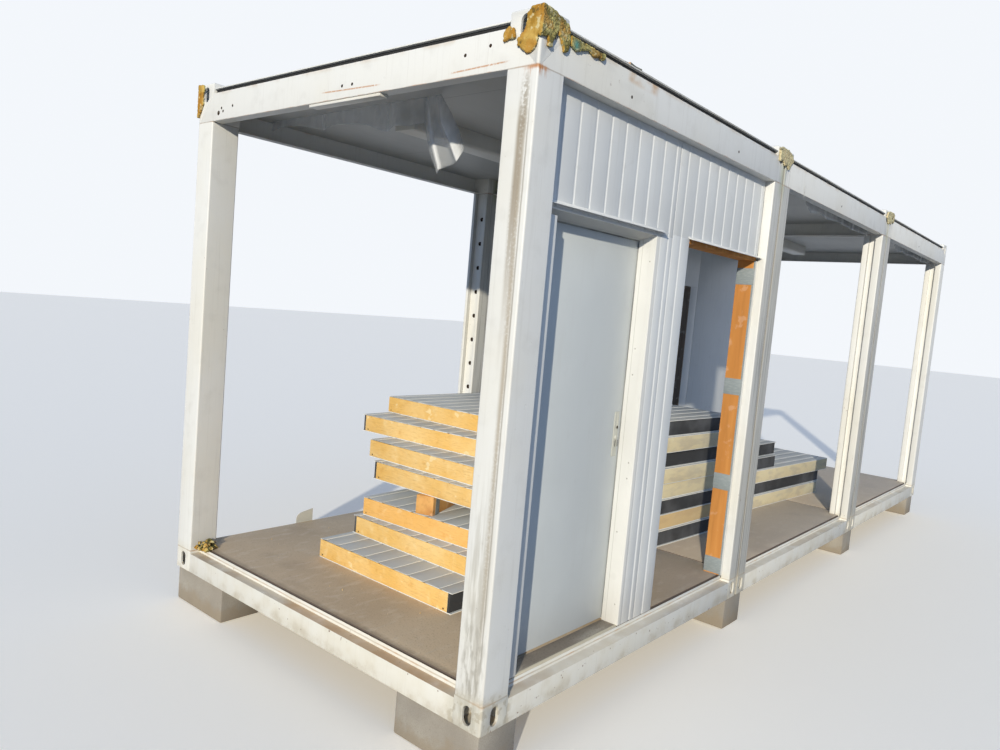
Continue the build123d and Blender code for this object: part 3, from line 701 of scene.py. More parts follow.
def roof_finish():
    finish = Finish("weathered_roof_sheet", specular=0.3)
    cloud = finish.noise(1.5, 5.0)
    puddles = finish.noise(2.2, 3.0, shift=(3, 5, 0)).rise(0.52, 0.60)
    grit = finish.noise(140.0, 2.0)
    finish.colour = finish.mix(cloud.rise(0.3, 0.7), (0.42, 0.42, 0.40), (0.57, 0.57, 0.55))
    finish.coat(0.35 * puddles, (0.33, 0.29, 0.24))
    finish.coat(0.3 * grit.rise(0.55, 0.7), (0.22, 0.20, 0.17))
    finish.coat(0.8 * finish.upright, (0.78, 0.78, 0.76))
    # Painted shade: the set-back foot under the sheet is painted near black
    foot_shade = 1 - finish.up.rise(roof_sheet_foot - 0.0008, roof_sheet_foot - 0.0002)
    finish.coat(foot_shade, (0.022, 0.022, 0.024))
    return finish.done(0.6 + 0.25 * cloud, finish.bump(grit, 0.001))


def fold_seam_ends(mesh):
    """End the seams of a roof sheet before its eaves."""
    eaves = [vert.co.y for vert in mesh.vertices]
    seam_front = min(eaves) + seam_end_reach
    seam_rear = max(eaves) - seam_end_reach
    for vert in mesh.vertices:
        if vert.co.z - base_z > roof_sheet_top + 0.001:
            vert.co.y = min(max(vert.co.y, seam_front), seam_rear)


roof_sheet = roof_finish()
for number in (1, 2, 3):
    dress(f"module_{number}_roof", roof_sheet, bevel=0.0008, reshape=fold_seam_ends)


# Broken board on the roof edge: two splinters of old shuttering board that were left on the roof,
# grey-green where they have weathered and pale orange along the fresh breaks.

def old_board_finish():
    finish = Finish("weathered_board", specular=0.2)
    fibres = finish.noise(60.0, 6.0, stretch=(0.12, 1, 1))
    cloud = finish.noise(12.0, 4.0)
    finish.colour = finish.mix(cloud.rise(0.35, 0.65), (0.13, 0.135, 0.11), (0.22, 0.215, 0.175))
    finish.coat(0.5 * fibres.rise(0.45, 0.7), (0.10, 0.095, 0.07))
    fresh = (-finish.facing_x).rise(0.2, 0.6) + cloud.rise(0.64, 0.70)
    finish.coat(0.85 * fresh, (0.74, 0.44, 0.22))
    level = finish.facing_z.rise(0.4, 0.8)
    finish.coat(0.8 * level, (0.68, 0.65, 0.58))
    return finish.done(0.8 + 0.1 * fibres, finish.bump(fibres, 0.003))


dress("roof_edge_scrap", old_board_finish(), bevel=0.002)


# Wall panels: two white coated steel skins on mineral wool, with flat grooves pressed in the outer
# skin. They stand between the grooved posts and are split over and beside the doorways.

def scaled(shade, share):
    return tuple(share * part for part in shade)


def panel_finish(name, shade, soiled=1.0, step=None):
    """step is how far back a folded frame has a fine line along its reveal; with a step, faces turned down
    also get painted shade.
    """
    finish = Finish(name, specular=0.45)
    cloud = finish.noise(1.6, 4.0)
    runs = finish.noise(5.0, 5.0, stretch=(9, 9, 0.4))
    finish.colour = finish.mix(cloud.rise(0.35, 0.65), shade, scaled(shade, 0.93))
    finish.coat(0.16 * soiled * runs.rise(0.52, 0.8), (0.42, 0.39, 0.34))
    foot = 1 - (finish.up - 0.12 * (runs - 0.5)).rise(0.15, 0.42)
    finish.coat(0.30 * soiled * foot, (0.42, 0.37, 0.31))
    smudges = finish.noise(13.0, 5.0, shift=(2, 0, 3)).rise(0.62, 0.78)
    finish.coat(0.12 * soiled * smudges, (0.25, 0.23, 0.20))
    dents = finish.noise(4.0, 1.0)
    if step:
        finish.coat(0.5 * finish.back.near(step, 0.003), (0.36, 0.35, 0.32))
        # Painted shade on the faces that are turned down
        underside_shade = (-finish.facing_z).rise(0.3, 0.7)
        finish.coat(0.55 * underside_shade, (0.27, 0.27, 0.26))
    return finish.done(0.36 + 0.2 * cloud, finish.bump(dents, 0.002))


wall_sheet = panel_finish("white_wall_panel", (0.70, 0.715, 0.72))
for node in ("front_wall_over_door", "front_wall_beside_door", "front_wall_over_opening",
             "front_wall_beside_opening", "rear_wall_over_opening", "rear_wall_beside_opening",
             "rear_wall_plain_panel"):
    dress(node, wall_sheet, bevel=0.0012)


# Timber linings: planed spruce boards that close the cut edges of the panels round the doorways
# without a leaf. They have gone orange in the sun and keep their knots and pale bruises.

def timber_finish(name, light, dark, grain_axis):
    finish = Finish(name, specular=0.25)
    stretch = [1.0, 1.0, 1.0]
    stretch[grain_axis] = 0.09
    fibres = finish.noise(42.0, 6.0, stretch=stretch)
    bands = finish.noise(9.0, 3.0, stretch=stretch)
    fine = finish.noise(160.0, 3.0, stretch=stretch)
    finish.colour = finish.mix(bands.rise(0.35, 0.65), dark, light)
    finish.coat(0.35 * fibres.rise(0.45, 0.7), scaled(dark, 0.7))
    knot_stretch = [1.0, 1.0, 1.0]
    knot_stretch[grain_axis] = 0.45
    knots = 1 - finish.cells(4.2, stretch=knot_stretch).rise(0.02, 0.09)
    finish.coat(0.7 * knots, (0.20, 0.075, 0.025))
    bruises = finish.noise(13.0, 5.0, shift=(5, 2, 0)).rise(0.58, 0.66)
    finish.coat(0.30 * bruises, tuple(0.30 + 0.70 * part for part in light))
    return finish.done(0.6 + 0.2 * fibres, finish.bump(fibres + 0.3 * fine, 0.0012))


upright_timber = timber_finish("spruce_lining", (0.70, 0.33, 0.095), (0.56, 0.235, 0.06), grain_axis=2)
# The rear lining is greyed wood, painted much darker still as painted shade
greyed_and_shaded_timber = timber_finish("greyed_spruce_lining_painted_shade", (0.17, 0.135, 0.105), (0.11, 0.085, 0.065),
                              grain_axis=2)
dress("opening_timber_lining", upright_timber, bevel=0.0015)
dress("rear_opening_timber_lining", greyed_and_shaded_timber, bevel=0.0015)


# Jamb trim and its straps: a folded strip of white sheet covers the front edge of the side board of
# the open doorway, and grey steel straps bent round the board at four heights hold it to the panel.

trim_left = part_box("opening_jamb_trim")[0].x


def trim_finish():
    finish = Finish("white_trim_grey_straps", specular=0.45)
    cloud = finish.noise(3.0, 4.0)
    brushed = finish.noise(40.0, 3.0, stretch=(1, 1, 6))
    white = finish.mix(cloud.rise(0.35, 0.65), (0.70, 0.705, 0.69), (0.62, 0.62, 0.60))
    grey = finish.mix(brushed.rise(0.4, 0.7), (0.24, 0.275, 0.285), (0.29, 0.325, 0.335))
    strap = 1 - (finish.x - trim_left).rise(0.0021, 0.0024)
    finish.colour = finish.mix(strap, white, grey)
    return finish.done(0.42 + 0.2 * cloud, finish.bump(brushed, 0.0004))


dress("opening_jamb_trim", trim_finish(), bevel=0.0006)


# Door set: a folded white steel frame with a rubber gasket on its stop, a sheet-metal sill and a flat
# light grey leaf that opens inward on three lift-off hinges, with a lock plate on its edge.

sill_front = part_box("door_sill")[0].y
leaf_low, leaf_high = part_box("door_leaf")
lock_low, lock_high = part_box("door_lock_plate")


def steel_finish():
    finish = Finish("worn_zinc_steel", metallic=0.9)
    cloud = finish.noise(7.0, 4.0)
    brushed = finish.noise(60.0, 3.0, stretch=(1, 1, 8))
    finish.colour = finish.mix(cloud.rise(0.35, 0.7), (0.50, 0.49, 0.47), (0.36, 0.34, 0.31))
    finish.coat(0.3 * brushed.rise(0.5, 0.8), (0.62, 0.61, 0.59))
    return finish.done(0.42 + 0.2 * cloud, finish.bump(brushed, 0.0005))


def sill_finish():
    finish = Finish("trodden_door_sill", metallic=0.35, specular=0.4)
    cloud = finish.noise(5.0, 5.0, stretch=(0.5, 2, 1))
    grit = finish.noise(110.0, 3.0)
    finish.colour = finish.mix(cloud.rise(0.35, 0.65), (0.40, 0.36, 0.30), (0.24, 0.205, 0.165))
    finish.coat(0.4 * grit.rise(0.5, 0.7), (0.14, 0.115, 0.09))
    nosing = 1 - (finish.y - sill_front).rise(0.006, 0.010)
    finish.coat(0.85 * nosing, (0.68, 0.62, 0.48))
    return finish.done(0.5 + 0.3 * cloud, finish.bump(grit, 0.0006))


def seal_finish(name, shade):
    finish = Finish(name, specular=0.2)
    grain = finish.noise(150.0, 3.0)
    cloud = finish.noise(4.0, 3.0)
    finish.colour = finish.mix(cloud.rise(0.4, 0.7), shade, scaled(shade, 2.2))
    return finish.done(0.8 + 0.1 * grain, finish.bump(grain, 0.001))


def bars(name, corners, material, bevel, body="frame"):
    """One piece made of straight bars with rounded edges, each given by two opposite corners."""
    mesh = bmesh.new()
    for low, high in corners:
        made = bmesh.ops.create_cube(mesh, size=1.0)
        bmesh.ops.scale(mesh, vec=Vector(high) - Vector(low), verts=made["verts"])
        bmesh.ops.translate(mesh, vec=(Vector(low) + Vector(high)) / 2, verts=made["verts"])
    piece = new_piece(name, plain_mesh(name, mesh), material)
    soften(piece, bevel)
    return fix(piece, body)


door_sheet = panel_finish("white_door_frame", (0.755, 0.755, 0.735), soiled=0.7, step=0.129)
leaf_sheet = panel_finish("grey_door_leaf", (0.635, 0.665, 0.665), soiled=0.5)
lock_sheet = panel_finish("worn_lock_plate", (0.56, 0.56, 0.50))
bare_steel = steel_finish()
seal_rubber = seal_finish("dark_foam_seal", (0.040, 0.041, 0.044))
gasket_rubber = seal_finish("grey_door_gasket", (0.20, 0.20, 0.19))

# The head of the frame is splayed: its front edge is thinner than its back. The legs of the flashings
# are cut down to a narrow rim, as on the real ones.
frame_face = 0.055
head_clear = 2.080
head_splay = 0.025
flashing_foot = 2.140
flashing_leg = 0.026
flashing_rim = 0.011


def splay_head(mesh):
    """Raise the front edge of the frame's head."""
    for vert in mesh.vertices:
        back = vert.co.y - front_y
        up = vert.co.z - base_z
        if abs(back - frame_face) < 0.002 and abs(up - head_clear) < 0.002:
            vert.co.z += head_splay


def narrow_legs(mesh):
    """Shorten the flashings' legs behind the face of the frame."""
    for vert in mesh.vertices:
        if vert.co.z - base_z > flashing_foot and vert.co.y - front_y > frame_face - 0.004:
            vert.co.z -= flashing_leg - flashing_rim


dress("door_frame", door_sheet, bevel=0.0025, reshape=splay_head)
dress("drip_flashings", door_sheet, bevel=0.0008, reshape=narrow_legs)
dress("door_sill", sill_finish(), bevel=0.0008)
dress("door_hinge_jamb_halves", bare_steel, bevel=0.0006)
dress("door_hinge_leaf_halves", bare_steel, bevel=0.0006, body="door")
dress("door_leaf", leaf_sheet, bevel=0.0015, body="door")
dress("door_lock_plate", lock_sheet, bevel=0.0006, body="door")

gasket_width = 0.007
gasket_back = leaf_low.y - 0.0010
gasket_front = gasket_back - 0.0036
bars("door_gasket", [
    ((leaf_high.x - gasket_width, gasket_front, leaf_low.z), (leaf_high.x, gasket_back, leaf_high.z)),
    ((leaf_low.x + gasket_width, gasket_front, leaf_high.z - gasket_width),
     (leaf_high.x - gasket_width, gasket_back, leaf_high.z)),
], gasket_rubber, bevel=0.0012)

# Wide casing on the hinge side, whose edge catches the sun beside the corner post
casing_corners = (spot(0.197, 0.046, 0.155), spot(0.262, 0.1495, 2.0795))
bars("door_hinge_side_casing", [casing_corners], door_sheet, bevel=0.0015)

# Keyhole, a black disc that paints the shade inside it, and two upright marks of the rose on the lock plate
keyhole_down = 0.34
rose_down = 0.70
rose_radius = 0.011
mark_reach = Vector((0.0022, 0.0005, 0.016))
lock_middle = (lock_low + lock_high) / 2
lock_height = lock_high.z - lock_low.z
keyhole_place = Vector((lock_middle.x - 0.004, lock_low.y, lock_high.z - keyhole_down * lock_height))
heads_on("lock_keyhole", front_holes, [keyhole_place], "bare_metal", "door", radius=0.008, flatness=0.05)
rose_marks = []
for side in (-1, 1):
    mark = Vector((lock_middle.x + side * rose_radius, lock_low.y - 0.0001,
                   lock_high.z - rose_down * lock_height))
    rose_marks.append((mark - mark_reach, mark + mark_reach))
bars("lock_rose_marks", rose_marks, hole_black, bevel=0.0004, body="door")

# Steel plugs in the reveal of the lock side
reveal_plugs = heads_recipe("plugs_in_end_faces", bare_steel, toward_end)
reveal_along = leaf_high.x - 0.010 - end_x
reveal_places = [spot(reveal_along, back, up) for back, up in (
    (0.082, 1.98), (0.114, 1.55), (0.114, 1.42), (0.086, 0.98), (0.086, 0.90), (0.112, 0.62),
    (0.082, 0.25))]
heads_on("door_frame_plugs", reveal_plugs, reveal_places, "bare_metal", radius=0.004, flatness=0.3)


# Stacked panels: dismantled wall panels lying face down and face up in three stacks. Their cut ends
# show yellow mineral wool between thin steel skins, and one long edge of each carries a dark seal.

# Two panels lay in the sun for longer and their wool has gone orange: where each starts and ends along
# the row, how high its underside lies, and its shade
weathered_panels = [
    (0.70, 2.00, 0.367, (0.80, 0.40, 0.10)),
    (2.35, 3.54, 0.257, (0.58, 0.34, 0.11)),
]
panel_layer = 0.110


def wool_finish():
    finish = Finish("cut_mineral_wool", specular=0.1)
    cloud = finish.noise(3.5, 4.0)
    mottle = finish.noise(16.0, 6.0)
    fibres = finish.noise(70.0, 6.0, stretch=(1, 0.25, 2.2))
    finish.colour = finish.mix(cloud.rise(0.35, 0.65), (0.74, 0.455, 0.14), (0.79, 0.545, 0.235))
    finish.coat(0.5 * mottle.rise(0.55, 0.75), (0.84, 0.65, 0.35))
    finish.coat(0.45 * (1 - mottle).rise(0.58, 0.75), (0.58, 0.29, 0.065))
    finish.coat(0.4 * fibres.rise(0.5, 0.8), (0.52, 0.32, 0.10))
    pale = finish.noise(7.0, 3.0, stretch=(1, 1, 1.5), shift=(2, 6, 1)).rise(0.65, 0.69)
    finish.coat(0.5 * pale, (0.88, 0.76, 0.48))
    sides = abs(finish.facing_y).rise(0.5, 0.8)
    greyed = finish.noise(11.0, 5.0, stretch=(0.5, 1, 1.6), shift=(4, 0, 7)).rise(0.42, 0.62)
    side_shade = finish.mix(greyed, (0.68, 0.63, 0.45), (0.55, 0.52, 0.41))
    finish.coat(0.8 * sides, side_shade)
    for start, end, foot, shade in weathered_panels:
        layer = finish.up.inside(foot, foot + panel_layer, 0.002)
        finish.coat(0.50 * layer * finish.along.inside(start, end, 0.01), shade)
    return finish.done(0.95, finish.bump(fibres + 0.5 * mottle, 0.006))


def skin_finish():
    finish = Finish("panel_skin_painted_shade", specular=0.4)
    cloud = finish.noise(2.0, 4.0)
    smears = finish.noise(6.0, 5.0, stretch=(0.3, 3, 1))
    # Painted shade: the flat faces of the white skins get a grey-blue, and only their upright edges keep the
    # white
    finish.colour = finish.mix(cloud.rise(0.35, 0.65), (0.43, 0.45, 0.455), (0.50, 0.51, 0.50))
    finish.coat(0.35 * smears.rise(0.5, 0.8), (0.40, 0.36, 0.28))
    finish.coat(0.92 * finish.upright, (0.82, 0.81, 0.77))
    return finish.done(0.42 + 0.2 * smears, finish.bump(cloud, 0.001))


def fibre_recipe(material):
    """Short loose fibres that stand out of the cut ends of the wool."""
    recipe = Recipe("loose_fibres", material, {"density": 1500.0, "thickness": 0.00035, "seed": 7})
    facing = recipe.node("GeometryNodeInputNormal", {}, {})
    facing_x = recipe.node("ShaderNodeSeparateXYZ", {}, {0: facing})
    cut_end = recipe.node("FunctionNodeCompare", {"data_type": "FLOAT", "operation": "LESS_THAN"}, {
        0: facing_x, 1: -0.9})
    roots = recipe.scatter(Selection=cut_end)
    strand = recipe.node("GeometryNodeCurveQuadraticBezier", {}, {
        "Resolution": 4, "Start": (0.001, 0, 0), "Middle": (-0.004, 0.002, 0),
        "End": (-0.004, 0.010, 0.002)})
    section = recipe.node("GeometryNodeCurvePrimitiveCircle", {}, {
        "Resolution": 3, "Radius": recipe.size("thickness")})
    fibre = recipe.node("GeometryNodeCurveToMesh", {}, {
        "Curve": strand, "Profile Curve": section, "Fill Caps": True})
    roll = recipe.chance(0.0, 2 * math.pi, recipe.size("seed"))
    turn = recipe.node("ShaderNodeCombineXYZ", {}, {0: roll})
    return recipe.serve(recipe.place(fibre, roots, Rotation=turn, Scale=recipe.chance(0.5, 1.2, 11)))


wool = wool_finish()
dress("stack_panel_cores", wool, bevel=0.002)
dress("stack_panel_skins", skin_finish(), bevel=0.0008)
dress("stack_panel_seals", seal_rubber, bevel=0.003)
cut_wool = clean_copy("stack_panel_cores")
fix(fibre_recipe(wool).cook("loose_wool_fibres", cut_wool))

# Plug holes near the lower corners of the cut ends, left by the fixings of the panels: black discs that
# paint the shade inside them
hole_inset = 0.026
hole_height = 0.012
plug_hole_places = []
for face in cut_wool.polygons:
    lower_corners = [cut_wool.vertices[index].co for index in face.vertices
                     if cut_wool.vertices[index].co.z < face.center.z]
    if face.normal.x < -0.9 and len(lower_corners) == 2:
        for corner, other in (lower_corners, lower_corners[::-1]):
            inward = (other - corner).normalized()
            plug_hole_places.append(corner + hole_inset * inward + Vector((0, 0, hole_height)))
heads_on("wool_plug_holes", end_holes, plug_hole_places, "mineral_wool", radius=0.005, flatness=0.12)


# Packing timber: an offcut of lining board that fills a missing layer in the near stack. A grey steel
# strap goes round it near its end.

lying_timber = timber_finish("packing_timber", (0.66, 0.36, 0.12), (0.50, 0.23, 0.07), grain_axis=0)
grey_strap = plain_finish("grey_steel_strap", ((0.27, 0.30, 0.30), (0.33, 0.36, 0.36)), scale=40.0,
                          spread=(0.4, 0.7), roughness=(0.42, 0.2), relief=0.0004,
                          stretch=(1, 1, 6), specular=0.45)
dress("stack_packing_timber", lying_timber, bevel=0.002)
timber_mesh = clean_copy("stack_packing_timber")
timber_end = min(timber_mesh.polygons, key=lambda face: face.normal.x)
corner, next_corner = [timber_mesh.vertices[index].co for index in timber_end.vertices[:2]]
timber_half = (corner - next_corner).length / 2
timber_along = -timber_end.normal
timber_across = timber_along.cross(Vector((0, 0, 1)))
strap_start = 0.035
strap_end = 0.085
strap_outside = 0.0008
strap_inside = -0.001
strap_mesh = bmesh.new()
strap_rings = []
for reach, swell in ((strap_start, strap_outside), (strap_end, strap_outside),
                     (strap_end, strap_inside), (strap_start, strap_inside)):
    ring = []
    for across, up in ((-1, -1), (1, -1), (1, 1), (-1, 1)):
        place = timber_end.center + timber_along * reach + timber_across * across * (timber_half + swell)
        place.z += up * (timber_half + 0.3 * swell)
        ring.append(strap_mesh.verts.new(place))
    strap_rings.append(ring)
for ring, next_ring in zip(strap_rings, strap_rings[1:] + strap_rings[:1]):
    for index in range(4):
        strap_mesh.faces.new((ring[index - 1], ring[index], next_ring[index], next_ring[index - 1]))
bmesh.ops.recalc_face_normals(strap_mesh, faces=strap_mesh.faces)
packing_strap = new_piece("packing_strap", plain_mesh("packing_strap", strap_mesh), grey_strap)
fix(packing_strap)


# Wool crumbs: tufts torn from the cut panels, caught at the foot of the far corner post and lying on
# the floor round the stacks.

def crumbs_recipe(material):
    """Small uneven lumps scattered over a patch."""
    recipe = Recipe("scattered_crumbs", material, {
        "density": 40.0, "smallest": 0.3, "largest": 1.0, "radius": 0.012, "seed": 3})
    ball = recipe.node("GeometryNodeMeshIcoSphere", {}, {
        "Radius": recipe.size("radius"), "Subdivisions": 3})
    ruffle = recipe.node("ShaderNodeTexNoise", {}, {"Scale": 60.0}, "Color")
    centred = recipe.vector("SUBTRACT", {0: ruffle, 1: (0.5, 0.5, 0.5)})
    offset = recipe.vector("SCALE", {0: centred, "Scale": 0.03})
    tuft = recipe.node("GeometryNodeSetPosition", {}, {"Geometry": ball, "Offset": offset})
    turn = recipe.node("ShaderNodeCombineXYZ", {}, {
        0: recipe.chance(0.0, 6.3, 1), 2: recipe.chance(0.0, 6.3, 2)})
    size = recipe.chance(recipe.size("smallest"), recipe.size("largest"), recipe.size("seed"))
    return recipe.serve(recipe.place(tuft, recipe.scatter(), Rotation=turn, Scale=size))


def patch(name, low, high):
    """Flat mesh between two corners at the same height."""
    mesh = bpy.data.meshes.new(name)
    corners = [(low.x, low.y, low.z), (high.x, low.y, low.z),
               (high.x, high.y, low.z), (low.x, high.y, low.z)]
    mesh.from_pydata(corners, [], [(0, 1, 2, 3)])
    return mesh


floor_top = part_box("module_1_floor")[1].z - base_z
old_crumbs = crumbs_recipe(foam_material)

# The tufts at the post lie in two layers: how high over the floor, and between which corners
tuft_layers = {
    "lower": (0.006, (0.02, 2.19), (0.12, 2.285)),
    "upper": (0.026, (0.03, 2.21), (0.11, 2.28)),
}
for name, (height, low, high) in tuft_layers.items():
    foot_patch = patch("far_post_foot", spot(*low, floor_top + height), spot(*high, floor_top + height))
    tufts = old_crumbs.cook(f"far_post_{name}_tufts", foot_patch, density=5200.0, radius=0.0145)
    fix(tufts)
crumb_floor = patch("crumb_floor", spot(0.2, 0.35, floor_top + 0.001), spot(1.4, 2.2, floor_top))
floor_crumbs = crumbs_recipe(wool).cook("floor_wool_crumbs", crumb_floor, density=20.0, radius=0.0040)
fix(floor_crumbs)


# Plate on the rear rail: a small pale sheet with a rounded corner that stands on the rear bottom rail
# of the first module, behind the edge of the floor.

def thicken(piece, thickness):
    """Give a sheet its thickness."""
    skin = piece.modifiers.new("thickness", "SOLIDIFY")
    skin.thickness = thickness
    apply_modifiers(piece)


def cut_sheet(name, outline, material, back, thickness):
    """Upright sheet so far back, cut to an outline of places along the row and heights."""
    mesh = bpy.data.meshes.new(name)
    corners = [tuple(spot(along, back, up)) for along, up in outline]
    mesh.from_pydata(corners, [], [tuple(range(len(corners)))])
    piece = new_piece(name, mesh, material)
    thicken(piece, thickness)
    return piece


plate_outline = [(0.800, 0.1085), (0.930, 0.1085), (0.930, 0.221), (0.862, 0.210), (0.828, 0.201),
                 (0.808, 0.188), (0.801, 0.170)]
plate_sheet = panel_finish("pale_sheet_plate", (0.68, 0.67, 0.60), soiled=0.7)
plate = cut_sheet("rear_rail_plate", plate_outline, plate_sheet, back=2.400, thickness=0.003)
fix(plate)


# Lamps and batten: surface lamps with a white tray and end caps under the ceilings, and a plain
# batten left under the top rail of the open end.

lamp_plastic = plain_finish("white_lamp_plastic", ((0.74, 0.73, 0.69), (0.66, 0.64, 0.58)), scale=4.0,
                            spread=(0.35, 0.7), roughness=(0.4, 0.15), relief=0.0006)
dress("ceiling_lamps", lamp_plastic, bevel=0.003)
dress("open_end_batten", lamp_plastic, bevel=0.003)
cap_width = 0.014
cap_lip = 0.0015
lamp_low, lamp_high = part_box("ceiling_lamps")
ceiling_middles = [sum(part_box(f"module_{number}_ceiling"), Vector()).x / 2 for number in (1, 2, 3)]
lamp_reach = ceiling_middles[0] - lamp_low.x
cap_corners = []
for middle in ceiling_middles:
    for side in (-1, 1):
        inner = middle + side * (lamp_reach - cap_width)
        outer = middle + side * (lamp_reach + cap_lip)
        cap_corners.append(((min(inner, outer), lamp_low.y - cap_lip, lamp_low.z - cap_lip),
                            (max(inner, outer), lamp_high.y + cap_lip, lamp_high.z)))
bars("lamp_end_caps", cap_corners, lamp_plastic, bevel=0.006)


# Hanging film: thin clear plastic sheet that closed the ceiling joints in transit. It has come loose
# at the open end, where a torn strip hangs lower, and along the front of the other modules.

def film_finish():
    finish = Finish("loose_clear_film", specular=0.5)
    crease_highlight = finish.node("ShaderNodeAttribute", {"attribute_name": "crease_highlight"}, {}, "Fac")
    cloud = finish.noise(9.0, 5.0, stretch=(1, 1, 0.35))
    wrinkles = finish.noise(60.0, 4.0, stretch=(1, 1, 0.5))
    finish.colour = finish.mix(cloud.rise(0.35, 0.65), (0.70, 0.73, 0.76), (0.82, 0.84, 0.86))
    # Painted highlight: the creases are lighter, and also less clear
    finish.coat(crease_highlight, (0.95, 0.96, 0.97))
    # Painted shade: the film is clearer below about 2.44 m, where the sun falls on it, so it lights up less
    clearer_where_sunlit = 0.45 + 0.55 * finish.up.rise(2.44, 2.53)
    alpha = clearer_where_sunlit * (0.32 + 0.22 * cloud.rise(0.45, 0.75)) + 0.55 * crease_highlight
    return finish.done(0.22 + 0.2 * cloud, finish.bump(wrinkles, 0.004), alpha)


film_thickness = 0.0006
film_step = 0.012
crease_sharpness = 11
ripple_depth = 0.004
ripple_lean = Vector((0.6, 1.0, 0.0))
film = film_finish()
film_low, film_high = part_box("hanging_film")
ceiling_under = film_high.z - base_z


def between(points, share):
    """Point at a share of the way along a list of evenly counted points."""
    reach = share * (len(points) - 1)
    index = min(int(reach), len(points) - 2)
    return Vector(points[index]).lerp(Vector(points[index + 1]), reach - index)


def film_sheet(name, rails, crease_rails, rows):
    """Thin sheet stretched over upright rails, each a list of places from its top edge down."""
    mesh = bmesh.new()
    crease_highlight_layer = mesh.verts.layers.float.new("crease_highlight")
    columns = []
    for index in range(len(rails) - 1):
        width = (Vector(rails[index][0]) - Vector(rails[index + 1][0])).length
        steps = max(1, round(width / film_step))
        last = index == len(rails) - 2
        columns += [(index, step / steps) for step in range(steps + last)]
    grid = []
    for index, share in columns:
        line = []
        for row in range(rows + 1):
            down = row / rows
            place = between(rails[index], down).lerp(between(rails[index + 1], down), share)
            ripple = noise.noise(place * 22) + 0.5 * noise.noise(place * 60)
            place += ripple_lean * (ripple_depth * down * ripple)
            vert = mesh.verts.new(place)
            from_crease = min(abs(index + share - rail) for rail in crease_rails)
            vert[crease_highlight_layer] = max(0.0, 1 - crease_sharpness * from_crease)
            line.append(vert)
        grid.append(line)
    for line, next_line in zip(grid, grid[1:]):
        for row in range(rows):
            mesh.faces.new((line[row], line[row + 1], next_line[row + 1], next_line[row]))
    cut_area = sum(face.calc_area() for face in mesh.faces)
    piece = new_piece(name, plain_mesh(name, mesh), film)
    thicken(piece, film_thickness)
    piece.data.shade_smooth()
    fix(piece)
    return piece


# Loose band behind the open end: places along its lower edge and their heights

end_film_plane = 0.4415
end_edge = [(1.054, 2.574), (1.177, 2.570), (1.289, 2.579), (1.333, 2.555), (1.402, 2.570),
            (1.504, 2.604), (1.681, 2.622), (1.804, 2.627), (1.875, 2.606), (2.093, 2.647),
            (2.271, 2.662), (2.395, 2.640)]
band_rails = []
for index, (back, up) in enumerate(end_edge):
    fold = 0.008 * noise.noise(Vector((7.3 * index, 0.4, 0.0)))
    band_rails.append([spot(end_film_plane, back, ceiling_under),
                       spot(end_film_plane + 0.3 * fold, back, 0.5 * (ceiling_under + up)),
                       spot(end_film_plane + fold, back, up)])
end_band = film_sheet("end_film_band", band_rails, [3.0, 8.0], 10)
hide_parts("hanging_film")

# Torn strip beside it, folded into two sharp pleats that stand toward the open end: how far each fold
# stands out, and the places down its line
strip_lines = [
    (0.000, [(1.077, 2.700), (1.054, 2.574), (1.015, 2.450), (0.941, 2.319)]),
    (-0.030, [(1.049, 2.700), (0.996, 2.556), (0.957, 2.472), (0.899, 2.332)]),
    (0.006, [(1.005, 2.700), (0.958, 2.560), (0.900, 2.468), (0.838, 2.362)]),
    (-0.030, [(0.965, 2.700), (0.921, 2.562), (0.840, 2.463), (0.781, 2.366)]),
    (-0.004, [(0.950, 2.700), (0.868, 2.605), (0.790, 2.490), (0.764, 2.424)]),
]
strip_rails = []
for fold, line in strip_lines:
    strip_rails.append([spot(end_film_plane + fold * min(1.0, 2 * index / len(line)), back, up)
                        for index, (back, up) in enumerate(line)])
film_sheet("end_film_strip", strip_rails, [1.0, 3.0], 36)

# Loose edges along the front rails of the second and third module: places and how far they hang
front_film_plane = film_low.y + 0.0015 - front_y
front_drops = [(0.0, 0.100), (0.150, 0.144), (0.350, 0.125), (0.530, 0.138), (0.740, 0.127),
               (1.170, 0.131), (1.550, 0.129)]
module_pitch = joint_places[1] - joint_places[0]
for number in (2, 3):
    film_start = film_high.x - end_x - (3 - number) * module_pitch - front_drops[-1][0]
    front_rails = []
    for index, (along, drop) in enumerate(front_drops):
        fold = 0.008 if index % 2 else -0.004
        front_rails.append([spot(film_start + along, front_film_plane, ceiling_under),
                            spot(film_start + along, front_film_plane + fold, ceiling_under - drop)])
    film_sheet(f"module_{number}_front_film", front_rails, [5.0, 6.0], 8)


# Torn tape: a scrap of white joint tape that still sticks to the front rail of the second module.

tape_outline = [(2.822, 2.645), (2.836, 2.648), (2.834, 2.622), (2.841, 2.598), (2.836, 2.572),
                (2.826, 2.585), (2.830, 2.604), (2.818, 2.620)]
joint_tape = plain_finish("white_joint_tape", ((0.74, 0.74, 0.71), (0.55, 0.54, 0.50)), scale=60.0,
                          spread=(0.35, 0.65), roughness=(0.6, 0.2), relief=0.001,
                          detail=4.0, specular=0.3)
tape = cut_sheet("torn_tape", tape_outline, joint_tape, back=-0.0012, thickness=0.0008)
fix(tape)


# Floor, backdrop and lamps of the room in which the row is shown, and the camera at the place from
# which it is seen.

def seen_rays(tree):
    """1 for rays from the camera and for those that reflect or pass through."""
    path = add_node(tree, "ShaderNodeLightPath", {}, {}).outputs
    seen = Pattern(tree, path["Is Camera Ray"])
    for kind in ("Is Transmission Ray", "Is Glossy Ray"):
        seen = seen.maths("MAXIMUM", seen, path[kind])
    return seen


